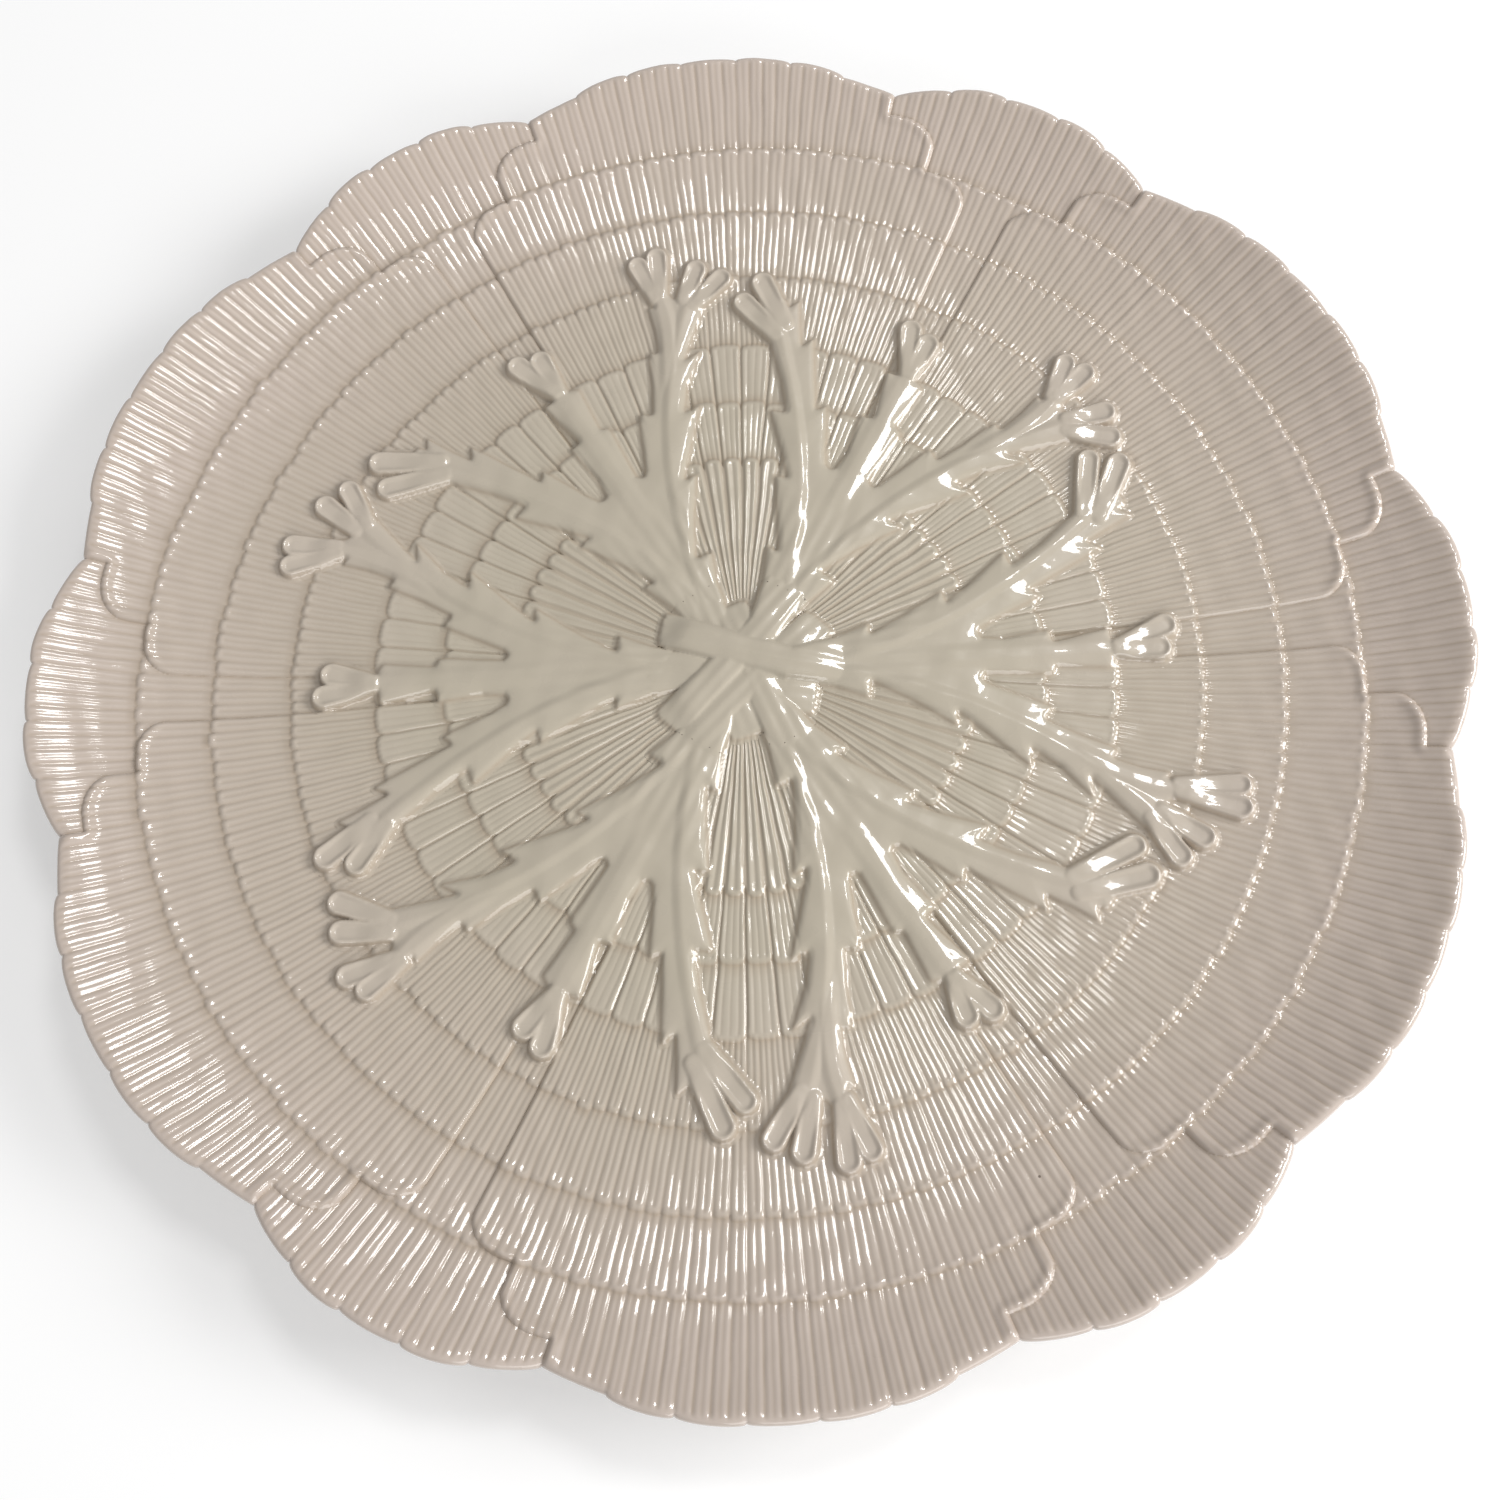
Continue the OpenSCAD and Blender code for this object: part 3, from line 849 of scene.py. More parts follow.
    def crossing(self, x: Array, y: Array) -> tuple[Array, Array]:
        """Shape the six stems that cross in the middle, each some levels above the mean face.

        A stem is a web like a spray's, with soft lines along it, and falls to half its height at
        its far end. It climbs to its level within the crossing only.

        Args:
            x: Places along X.
            y: Places along Y.

        Returns:
            Distance to the outline, negative inside, and height over the mean face.
        """
        form = self.form
        height, outline = np.zeros_like(x), np.full(x.shape, 1.0)
        inward = smooth_step((0.17 - np.hypot(x, y) / NOTCH) / 0.09)
        for k, level in enumerate(form.stalk_levels):
            p = self.local(x, y, k)
            gap = outline_distance(p, self.stalk(k, form.head_share))
            far = self.stalk_end(k)
            from_end = np.linalg.norm(far) - p @ far / np.linalg.norm(far)
            top = self.stem(-gap) + level * form.level_rise * inward * rise(-gap, 0.65 * MM)
            top = top + self.lines(p @ self.stalk_side(k)) * smooth_step(-gap / (1.2 * MM) - 0.3)
            top = np.where(gap < 0, top * (0.5 + 0.5 * smooth_step(from_end / form.stalk_fall)), 0.0)
            outline = np.minimum(outline, gap)
            sharp = np.maximum(height, top)
            height = sharp + (joined(height, top, 0.16 * MM) - sharp) * smooth_step(-outline / (1.5 * MM))
        return outline, height

    def knot_gap(self, x: Array, y: Array) -> Array:
        """Return the distance to the plan of the crossing piece, whose stems end at the neck."""
        gaps = [outline_distance(self.local(x, y, k), self.stalk(k, self.form.neck_share + 0.001))
                for k in range(SPRAYS)]
        return np.min(gaps, axis=0)

    def all(self, x: Array, y: Array) -> tuple[Array, Array]:
        """Join all sprays and the crossing.

        Args:
            x: Places along X.
            y: Places along Y.

        Returns:
            Distance to the nearest outline, negative inside, and height over the mean face.
        """
        height, outline = np.zeros_like(x), np.full(x.shape, 1.0)
        radius, degrees = np.hypot(x, y), bearing(x, y)
        for k in range(SPRAYS):
            near = (np.abs((degrees - SECTOR * k + 180) % 360 - 180) < 42) & (radius < 0.8 * NOTCH)
            if near.any():
                gap, top = self.spray(self.local(x[near], y[near], k), k)
                outline[near] = np.minimum(outline[near], gap)
                height[near] = np.maximum(height[near], top)
        near = radius < 0.2 * NOTCH
        if near.any():
            gap, top = self.crossing(x[near], y[near])
            outline[near] = np.minimum(outline[near], gap)
            height[near] = np.maximum(height[near], top)
        return outline, height


class PlateRelief:
    """The whole upper side: shells with the sprays pressed on."""

    def __init__(self) -> None:
        """Make the two reliefs and the sprays' unevenness."""
        self.shells = ShellRelief(ShellForm(), HandWork())
        self.sprays = SprayRelief(SprayForm())
        self.wobble = (Waves(11, 8.5 * MM), Waves(12, 2.6 * MM))

    def top(self, x: Array, y: Array) -> tuple[Array, Array]:
        """Join shells and sprays with a small fillet round each stem.

        Inside the sprays' outlines the shells' top gives way to the smooth mean face, so that no
        rib shows through.

        Args:
            x: Places along X.
            y: Places along Y.

        Returns:
            Heights, and the depth of glaze from 0 to 1, with painted shade along both sides of the sprays'
            outlines.
        """
        form = self.sprays.form
        shell, pool_and_shade = self.shells.height(x, y)
        gap, spray = self.sprays.all(x, y)
        inside = np.maximum(-gap, 0.0)
        level = self.shells.form.face(np.hypot(x, y)) + 0.1 * MM
        fillet = form.foot_fillet * np.clip(1 - np.maximum(gap, 0) / form.foot, 0, 1) ** 2
        fillet = fillet * np.exp(-inside / (1.2 * MM))
        total = shell + (level - shell) * rise(inside, 0.4 * MM) + spray + fillet
        wobble = 0.034 * self.wobble[0].at(x, y) + 0.003 * self.wobble[1].at(x, y)
        total = total + wobble * MM * smooth_step(inside / MM)
        # Painted shade: the glaze colour darkens along both sides of each spray's outline, where contact
        # shade falls.
        near = np.exp(-np.abs(gap) / (0.55 * MM))
        glaze = np.where(gap < 0, np.maximum(0.0, near - 0.25), np.maximum(pool_and_shade, near))
        return total, glaze

    def shell_top(self, x: Array, y: Array) -> tuple[Array, Array]:
        """Work out the shells' own top, which dips a little where a spray or the crossing covers it.

        Args:
            x: Places along X.
            y: Places along Y.

        Returns:
            Heights, and the depth of glaze from 0 to 1, with painted shade at steps and ears.
        """
        shell, pool_and_shade = self.shells.height(x, y)
        gap, _ = self.sprays.all(x, y)
        covered = smooth_step((self.sprays.form.foot - gap) / (0.5 * MM))
        return shell - 0.15 * MM * covered, pool_and_shade


# Cutting pieces out of the relief

def open_edges(faces: Sequence[Array]) -> Array:
    """Find the edges that only one face uses.

    Args:
        faces: Arrays of quads and of triangles, one row of vertex numbers each.

    Returns:
        Those edges as (from, to), in the direction in which their face runs.
    """
    edges = np.concatenate([np.stack([f, np.roll(f, -1, axis=1)], axis=-1).reshape(-1, 2)
                            for f in faces if len(f)])
    low, high = edges.min(axis=1).astype(np.int64), edges.max(axis=1).astype(np.int64)
    _, first, count = np.unique(low * (edges.max() + 1) + high, return_index=True, return_counts=True)
    return edges[first[count == 1]]


def filled(places: Array, sides: Array) -> Array:
    """Fill a closed outline with triangles between its own corners and the places inside it.

    A triangle belongs to the filling if its middle lies inside. Where the middle is too near the
    outline to tell, it belongs if it shares an edge that is no side with one that does, or if it
    has a side of the outline in the outline's own direction.

    Args:
        places: The corners and the inner places, one row each.
        sides: The outline's sides as (from, to), with the filling on their left.

    Returns:
        Triangles as rows of place numbers, counter-clockwise.
    """
    laid = delaunay_2d_cdt([Vector(p) for p in (places / MM).tolist()], sides.tolist(), [], 0, 1e-6, True)
    origin = np.array([o[0] if o else -1 for o in laid[3]])
    triangles = origin[np.array([t for t in laid[2] if len(t) == 3])]
    triangles = triangles[(triangles >= 0).all(axis=1)]
    start, end = places[sides[:, 0]], places[sides[:, 1]]
    middle = places[triangles].mean(axis=1)
    unsure = side_gap(middle, start, end) < 0.02 * MM
    size = len(places)
    ahead = np.roll(triangles, -1, axis=1)
    forward = np.isin(triangles * size + ahead, sides @ [size, 1])
    fixed = forward | np.isin(ahead * size + triangles, sides @ [size, 1])
    keys = np.minimum(triangles, ahead) * size + np.maximum(triangles, ahead)
    keep = np.where(unsure, forward.any(axis=1), within(middle, start, end))
    while True:
        reached = unsure & ~keep & (np.isin(keys, keys[keep][~fixed[keep]]) & ~fixed).any(axis=1)
        if not reached.any():
            return triangles[keep]
        keep |= reached


@dataclass
class Cut:
    """A part of a grid of places: the places in use and the cells between them."""

    x: Array
    y: Array
    quads: Array

    @classmethod
    def from_grid(cls, x: Array, y: Array, keep: Array) -> "Cut":
        """Take the kept cells of a grid, and fill cells that would touch only at a corner.

        Args:
            x: X of the grid's places.
            y: Y of the grid's places.
            keep: Whether each cell belongs to the piece.

        Returns:
            The cut, with quads that face up.
        """
        keep = keep.copy()
        for _ in range(6):
            a, b, c, d = keep[:-1, :-1], keep[1:, :-1], keep[:-1, 1:], keep[1:, 1:]
            corner = (a & d & ~b & ~c) | (b & c & ~a & ~d)
            if not corner.any():
                break
            for part in (a, b, c, d):
                part |= corner
        rows, columns = np.nonzero(keep)
        wide = x.shape[1]
        first = rows * wide + columns
        quads = np.stack([first, first + wide, first + wide + 1, first + 1], axis=1)
        used, quads = np.unique(quads, return_inverse=True)
        return cls(x.ravel()[used], y.ravel()[used], quads.reshape(-1, 4))

    def snap(self, gap: GapRule, reach: float) -> None:
        """Move the border's places onto the line where gap is zero, by Newton's steps.

        Args:
            gap: Rule for the distance to the wanted outline.
            reach: Places farther from it than this stay.
        """
        border = np.unique(open_edges([self.quads]))
        x, y = self.x[border], self.y[border]
        x0, y0 = x.copy(), y.copy()
        tiny = 0.01 * MM
        for _ in range(3):
            value = gap(x, y)
            gx = (gap(x + tiny, y) - value) / tiny
            gy = (gap(x, y + tiny) - value) / tiny
            step = np.where(np.abs(value) < reach, value, 0.0) / np.maximum(gx * gx + gy * gy, 0.2)
            x, y = x - step * gx, y - step * gy
        moved = np.hypot(x - x0, y - y0)
        share = np.minimum(1.0, reach / np.maximum(moved, 1e-12))
        self.x[border], self.y[border] = x0 + (x - x0) * share, y0 + (y - y0) * share


@dataclass(frozen=True)
class Label:
    """A piece's name, the solid that it replaces, and the material slot of its finish."""

    name: str
    node: str
    slot: str


class PieceMaker:
    """Turns cuts and profiles into closed meshes that ride on the plate."""

    def __init__(self, finishes: dict[str, bpy.types.Material]) -> None:
        """Keep the finishes, one for each material slot of the record."""
        self.finishes = finishes

    def make(self, label: Label, points: Array, faces: Sequence[Array], glaze: Array,
             sharp: Array | None = None) -> None:
        """Build one piece, hide the solid that it stands for and attach it to the root body.

        Args:
            label: The piece's name, solid and slot.
            points: Vertices.
            faces: Arrays of quads and of triangles.
            glaze: Depth of pooled glaze and painted shade at each vertex, from 0 to 1.
            sharp: Edges, as pairs of vertices, at which the shading breaks.
        """
        faces = [f for f in faces if len(f)]
        sizes = np.concatenate([np.full(len(f), f.shape[1]) for f in faces])
        corners = np.concatenate([f.ravel() for f in faces])
        starts = np.concatenate([[0], np.cumsum(sizes)[:-1]])
        mesh = bpy.data.meshes.new(label.name)
        mesh.vertices.add(len(points))
        mesh.vertices.foreach_set("co", points.astype(np.float32).ravel())
        mesh.loops.add(len(corners))
        mesh.loops.foreach_set("vertex_index", corners.astype(np.int32))
        mesh.polygons.add(len(sizes))
        mesh.polygons.foreach_set("loop_start", starts.astype(np.int32))
        mesh.update(calc_edges=True)
        mesh.shade_smooth()
        depth = mesh.attributes.new("glaze_depth", "FLOAT", "POINT")
        depth.data.foreach_set("value", glaze.astype(np.float32))
        if sharp is not None:
            edges = np.empty(len(mesh.edges) * 2, dtype=np.int32)
            mesh.edges.foreach_get("vertices", edges)
            edges = np.sort(edges.reshape(-1, 2), axis=1).astype(np.int64)
            wanted = np.sort(sharp, axis=1).astype(np.int64)
            marks = np.isin(edges @ [len(points), 1], wanted @ [len(points), 1])
            mesh.attributes.new("sharp_edge", "BOOLEAN", "EDGE").data.foreach_set("value", marks)
        piece = bpy.data.objects.new(label.name, mesh)
        bpy.context.scene.collection.objects.link(piece)
        mesh.materials.append(self.finishes[label.slot])
        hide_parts(label.node)
        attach(piece, "root")
        triangles = int((sizes - 2).sum())
        log.info("%s: %d triangles, %d open edges", label.name, triangles, len(open_edges(faces)))

    def close(self, label: Label, cut: Cut, top: Array, glaze: Array, under: HeightRule, inner: Array,
              shared: Array) -> None:
        """Close a cut relief with walls along its border and a plain lower side.

        The lower side is a triangulation between the border and a few inner places. A wall is a
        ring of quads, or a single triangle where one of its ends is shared with the upper side.

        Args:
            label: The piece's name, solid and slot.
            cut: The places and cells of the upper side.
            top: Heights of the upper side.
            glaze: Depth of glaze and painted shade of the upper side.
            under: Rule for the lower side's height.
            inner: Places wanted on the lower side.
            shared: Whether the lower side meets the upper one at each place, as at the rim.
        """
        border = open_edges([cut.quads])
        ring = np.unique(border)
        plan = np.stack([cut.x, cut.y], axis=-1)
        start, end = plan[border[:, 0]], plan[border[:, 1]]
        if len(inner):
            inner = inner[within(inner, start, end)]
            inner = inner[side_gap(inner, start, end) > 0.35 * MM]
        flat = np.concatenate([plan[ring], inner]) if len(inner) else plan[ring]
        number = np.full(len(top), -1)
        number[ring] = np.arange(len(ring))
        triangles = filled(flat, number[border])[:, ::-1]
        below = len(top) + np.arange(len(flat))
        below[:len(ring)] = np.where(shared[ring], ring, below[:len(ring)])
        depth = under(flat[:, 0], flat[:, 1])
        depth[:len(ring)] = np.minimum(depth[:len(ring)], top[ring] - 0.05 * MM)
        points = np.concatenate([np.column_stack([plan, top]), np.column_stack([flat, depth])])
        a, b = border.T
        under_a, under_b = below[number[a]], below[number[b]]
        wall = (under_a != a) & (under_b != b)
        lean_a, lean_b = (under_a == a) & (under_b != b), (under_a != a) & (under_b == b)
        walls = np.stack([a, under_a, under_b, b], axis=1)[wall]
        fins = np.concatenate([np.stack([a, under_b, b], axis=1)[lean_a],
                               np.stack([a, under_a, b], axis=1)[lean_b]])
        parts = [cut.quads, walls, fins, below[triangles]]
        used, renumbered = np.unique(np.concatenate([part.ravel() for part in parts]), return_inverse=True)
        ends = np.cumsum([part.size for part in parts])[:-1]
        quads, walls, fins, base = (part.reshape(-1, corners) for part, corners
                                    in zip(np.split(renumbered, ends), (4, 4, 3, 3)))
        tint = np.concatenate([glaze, np.full(len(flat), PLAIN_DEPTH)])[used]
        steep = wall | lean_a | lean_b
        rims = np.concatenate([border[steep], np.stack([under_a, under_b], axis=1)[steep]])
        lookup = np.full(len(points), -1)
        lookup[used] = np.arange(len(used))
        self.make(label, points[used], [quads, walls, np.concatenate([fins, base])], tint, lookup[rims])

    def lathe(self, label: Label, profile: Array, columns: int = 288) -> None:
        """Turn a profile round the Z axis into a closed body.

        Args:
            label: The piece's name, solid and slot.
            profile: Radius and height, lower side outward and upper side back; it is closed in
                itself, or ends on the axis at both ends.
            columns: Number of steps round the axis.
        """
        poles = profile[0, 0] == 0.0
        rings = profile[1:-1] if poles else profile
        turn = np.arange(columns) * 360.0 / columns
        plan = polar(rings[:, :1], turn[None, :])
        height = np.broadcast_to(rings[:, 1][:, None, None], plan.shape[:2] + (1,))
        points = np.concatenate([plan, height], axis=-1).reshape(-1, 3)
        i = np.arange(len(rings) - (1 if poles else 0))[:, None]
        j = np.arange(columns)[None, :]
        ahead, after = (j + 1) % columns, (i + 1) % len(rings)
        quads = np.stack(np.broadcast_arrays(i * columns + j, i * columns + ahead, after * columns + ahead,
                                             after * columns + j), axis=-1).reshape(-1, 4)
        caps = np.empty((0, 3), dtype=int)
        if poles:
            low, high = len(points), len(points) + 1
            points = np.concatenate([points, [[0, 0, profile[0, 1]], [0, 0, profile[-1, 1]]]])
            j, last = np.arange(columns), (len(rings) - 1) * columns
            ahead = (j + 1) % columns
            caps = np.concatenate([np.stack([np.full(columns, low), ahead, j], axis=1),
                                   np.stack([np.full(columns, high), last + j, last + ahead], axis=1)])
        self.make(label, points, [quads, caps], np.full(len(points), PLAIN_DEPTH))


@dataclass
class ShellSet:
    """The six wide and six narrow shells, cut out of one polar grid.

    A column is an angle in degrees. The rows lie close together where ribs end.
    """

    relief: PlateRelief
    maker: PieceMaker
    column: float = 5.0 / 36.0
    coarse: float = 1.7 * MM
    fine: float = 0.22 * MM
    ear_fine: float = 0.42 * MM
    rim_start_share: float = 0.968
    lip_rows: tuple[float, ...] = (3.0, 2.4, 1.85, 1.35, 0.95, 0.6, 0.33, 0.14, 0.0)
    narrow_half: float = 12.5
    snap_reach: float = 0.3 * MM

    def rows(self) -> Array:
        """Set out the grid's rows inside the rim zone, close together at rib ends and ears.

        Returns:
            The rows' radii.
        """
        form = self.relief.shells.form
        zones = [(t.end_share * NOTCH - t.end_round - 1.05 * MM, t.end_share * NOTCH + 0.5 * MM, self.fine)
                 for t in form.tiers[:-1]]
        for _, top in form.ears:
            zones.append(((top - form.ear_round_share) * NOTCH - 0.5 * MM, top * NOTCH + 0.3 * MM,
                          self.ear_fine))
        radii, radius, last = [form.root], form.root, self.rim_start_share * NOTCH
        while radius < last - 0.1 * MM:
            steps = [size for low, high, size in zones if low - 0.01 * MM <= radius < high]
            ahead = [low - radius for low, _, _ in zones if low - radius > 0.05 * MM]
            radius += min([min(steps) if steps else self.coarse] + ahead)
            radii.append(min(radius, last))
        return np.array(radii)

    def grid(self, first: float, last: float) -> tuple[Array, Array]:
        """Lay a polar grid whose outer rows follow the scalloped rim.

        Args:
            first: Polar angle of the first column.
            last: Polar angle of the last column.

        Returns:
            X and Y of the grid's places, rows outward and columns counter-clockwise.
        """
        turn = np.linspace(first, last, int(round((last - first) / self.column)) + 1)
        rim = self.relief.shells.form.rim(turn)
        rows = self.rows()
        start, stop = rows[-1], rim - self.lip_rows[0] * MM
        middle = start + (stop - start) * np.linspace(0, 1, 9)[1:-1, None]
        lip = rim - np.array(self.lip_rows)[:, None] * MM
        radius = np.concatenate([np.broadcast_to(rows[:, None], (len(rows), len(turn))), middle, lip])
        plan = polar(radius, np.broadcast_to(turn, radius.shape))
        return plan[..., 0], plan[..., 1]

    def lower_places(self, first: float, last: float) -> Array:
        """Set out the lower side: a wide net under the dish and rings under the lip.

        Args:
            first: Polar angle where the shell's sector starts.
            last: Polar angle where it ends.

        Returns:
            Places, one row each.
        """
        form = self.relief.shells.form
        net = polar(np.arange(16, 154, 9)[:, None] * MM, np.arange(first + 1.25, last, 2.5)[None, :])
        turn = np.arange(first + 0.3125, last, 0.625)
        rim = form.rim(turn)
        edge = polar(np.array([form.dish_edge - 0.08 * MM, form.dish_edge])[:, None], turn)
        start = form.dish_edge + 0.5 * MM
        share = np.array([0.0, 0.35, 0.6, 0.78, 0.9, 0.97])[:, None]
        lip = polar(start + (rim - start) * share, np.broadcast_to(turn, (len(share), len(turn))))
        return np.concatenate([p.reshape(-1, 2) for p in (net, edge, lip)])

    def build(self) -> None:
        """Cut and build every shell: a wide one between two sprays, a narrow one under each."""
        wide_gap = self.relief.shells.wide_distance
        for n in range(1, SPRAYS + 1):
            self.shell(Label(f"Wide_shell_{n}", f"wide_shell_{n}", "glazed_shells"),
                       (n - 0.5) * SECTOR, HALF_SECTOR, wide_gap)
        for n in range(1, SPRAYS + 1):
            self.shell(Label(f"Narrow_shell_{n}", f"narrow_shell_{n}", "glazed_shells"),
                       (n - 1) * SECTOR, self.narrow_half, lambda x, y: -wide_gap(x, y))

    def shell(self, label: Label, axis: float, half: float, gap: GapRule) -> None:
        """Cut one shell out of its sector.

        Args:
            label: The piece's name, solid and slot.
            axis: Polar angle of its middle.
            half: Half the angle of its sector.
            gap: Rule for the distance to its outline, negative inside.
        """
        form = self.relief.shells.form
        first, last = axis - half, axis + half
        x, y = self.grid(first, last)
        mid_x = (x[:-1, :-1] + x[1:, 1:] + x[1:, :-1] + x[:-1, 1:]) / 4
        mid_y = (y[:-1, :-1] + y[1:, 1:] + y[1:, :-1] + y[:-1, 1:]) / 4
        keep = gap(mid_x.ravel(), mid_y.ravel()).reshape(mid_x.shape) < 0
        if half < HALF_SECTOR:
            keep &= np.hypot(mid_x, mid_y) > form.narrow_root_share * NOTCH
        cut = Cut.from_grid(x, y, keep)
        cut.snap(gap, self.snap_reach)
        top, glaze = self.relief.shell_top(cut.x, cut.y)
        shared = np.abs(form.rim(bearing(cut.x, cut.y)) - np.hypot(cut.x, cut.y)) < 0.02 * MM
        self.maker.close(label, cut, top, glaze, self.relief.shells.under, self.lower_places(first, last),
                         shared)


@dataclass
class SpraySet:
    """The six sprays and the crossed stems in the middle, cut out of square grids."""

    relief: PlateRelief
    maker: PieceMaker
    spacing: float = 0.33 * MM
    sunk: float = 1.2 * MM

    def under(self, x: Array, y: Array) -> Array:
        """Return the hidden lower side, a little below the shells' top."""
        return self.relief.shells.form.face(np.hypot(x, y)) - self.sunk

    def crossing_gap(self, x: Array, y: Array) -> Array:
        """Measure how far places lie from the crossing's piece: its foot, or half-way to a spray.

        Args:
            x: Places along X.
            y: Places along Y.

        Returns:
            Distances, negative inside.
        """
        sprays = self.relief.sprays
        knot = sprays.knot_gap(x, y)
        nearest = np.min([sprays.edge(sprays.local(x, y, k), k) for k in range(SPRAYS)], axis=0)
        return np.maximum(knot - sprays.form.foot, knot - np.maximum(nearest, 0.0))

    def spray_gap(self, k: int) -> GapRule:
        """Make the rule for the distance to spray k's piece, parted half-way from its neighbours.

        Args:
            k: Number of the spray.

        Returns:
            The rule, a function of x and y.
        """
        sprays = self.relief.sprays

        def gap(x: Array, y: Array) -> Array:
            """Measure the foot, the halves and the crossing at places.

            Args:
                x: Places along X.
                y: Places along Y.

            Returns:
                Distances, negative inside.
            """
            own, left, right = (sprays.edge(sprays.local(x, y, m % SPRAYS), m % SPRAYS)
                                for m in (k, k - 1, k + 1))
            knot = sprays.knot_gap(x, y)
            nearest = np.maximum(np.minimum(own, np.minimum(left, right)), 0.0)
            crossing = np.maximum(knot - sprays.form.foot, knot - nearest)
            return np.max([own - sprays.form.foot, own - left, own - right, -crossing], axis=0)
        return gap

    def steps(self, first_share: float, last_share: float) -> Array:
        """Return the grid's places along one side, from one share of the notch radius to another."""
        return np.arange(first_share, last_share, self.spacing / NOTCH) * NOTCH

    def build(self) -> None:
        """Cut and build the six sprays and the crossing."""
        w, u = np.meshgrid(self.steps(-0.345, 0.385), self.steps(0.10, 0.73), indexing="ij")
        for k in range(SPRAYS):
            turn = np.radians(SECTOR * k)
            x, y = u * np.cos(turn) + w * np.sin(turn), u * np.sin(turn) - w * np.cos(turn)
            label = Label(f"Seaweed_spray_{k + 1}", f"seaweed_spray_{k + 1}", "glazed_sprays")
            self.piece(label, x, y, self.spray_gap(k))
        side = self.steps(-0.17, 0.17)
        x, y = np.meshgrid(side, side, indexing="ij")
        self.piece(Label("Crossed_stems", "stem_crossing", "glazed_sprays"), x, y, self.crossing_gap)

    def piece(self, label: Label, x: Array, y: Array, gap: GapRule) -> None:
        """Cut one piece out of its grid.

        Args:
            label: The piece's name, solid and slot.
            x: X of the grid's places.
            y: Y of the grid's places.
            gap: Rule for the distance to its outline, negative inside.
        """
        mid_x, mid_y = (x[:-1, :-1] + x[1:, 1:]) / 2, (y[:-1, :-1] + y[1:, 1:]) / 2
        keep = gap(mid_x.ravel(), mid_y.ravel()).reshape(mid_x.shape) < 0
        cut = Cut.from_grid(x, y, keep)
        cut.snap(gap, 0.6 * self.spacing)
        top, glaze = self.relief.top(cut.x, cut.y)
        self.maker.close(label, cut, top, glaze, self.under, np.empty((0, 2)), np.zeros(len(top), dtype=bool))


@dataclass
class Underside:
    """The plain dish under the shells and the foot ring that it stands on."""

    relief: PlateRelief
    maker: PieceMaker
    body: float = 6.2 * MM
    foot_outer: float = 96.0 * MM
    foot_width: float = 7.0 * MM
    foot_slant: float = 1.2 * MM
    foot_round: float = 0.8 * MM
    foot_sink: float = 0.3 * MM
    covered: float = 0.2 * MM
    thin_from: float = 138 * MM

    def lower(self, radius: Array) -> Array:
        """Work out the dish's lower side: the mean face less the wall, thinner towards the lip.

        Args:
            radius: Distances from the plate's middle.

        Returns:
            Heights.
        """
        form = self.relief.shells.form
        outward = smooth_step((radius - self.thin_from) / (form.dish_edge - self.thin_from))
        return form.face(radius) - self.body + (self.body - form.lip_thick) * outward

    def build(self) -> None:
        """Turn the dish and the foot ring."""
        self.maker.lathe(Label("Dish_body", "dish_body", "glazed_body"), self.dish_profile())
        self.maker.lathe(Label("Foot_ring", "foot_ring", "bare_foot"), self.foot_profile())

    def dish_profile(self) -> Array:
        """Draw the dish: its lower side outward, and back a little below the shells' lower side.

        Returns:
            Radius and height of each place.
        """
        form = self.relief.shells.form
        out = np.concatenate([[0.0], np.linspace(6 * MM, form.dish_edge, 76)])
        back = np.append(np.linspace(form.dish_edge, 8 * MM, 20), 0.0)
        upper = form.face(back) - form.thick - self.covered
        return np.concatenate([np.column_stack([out, self.lower(out)]), np.column_stack([back, upper])])

    def foot_profile(self) -> Array:
        """Draw the foot: two quarter-round edges, and sides that spread as a cube into the dish.

        Returns:
            Radius and height of each place.
        """
        inner, outer, curve = self.foot_outer - self.foot_width, self.foot_outer, self.foot_round
        left, right = inner + self.foot_slant * 0.6, outer - self.foot_slant * 0.6
        bend, climb = np.radians(np.linspace(0, 90, 7)), np.linspace(0, 1, 9)[1:]
        near = np.column_stack([left + curve * (1 - np.cos(bend)), curve * (1 - np.sin(bend))])
        far = np.column_stack([right - curve * (1 - np.sin(bend)), curve * (1 - np.cos(bend))])
        wide_in, wide_out = inner - self.foot_slant, outer + self.foot_slant
        top_in, top_out = self.lower(np.array([wide_in, wide_out])) + self.foot_sink
        outer_side = np.column_stack([right + (wide_out - right) * climb ** 3,
                                      curve + (top_out - curve) * climb])
        inner_side = np.column_stack([left + (wide_in - left) * climb ** 3,
                                      curve + (top_in - curve) * climb])
        return np.concatenate([near, far, outer_side, inner_side[::-1]])


# Finishes

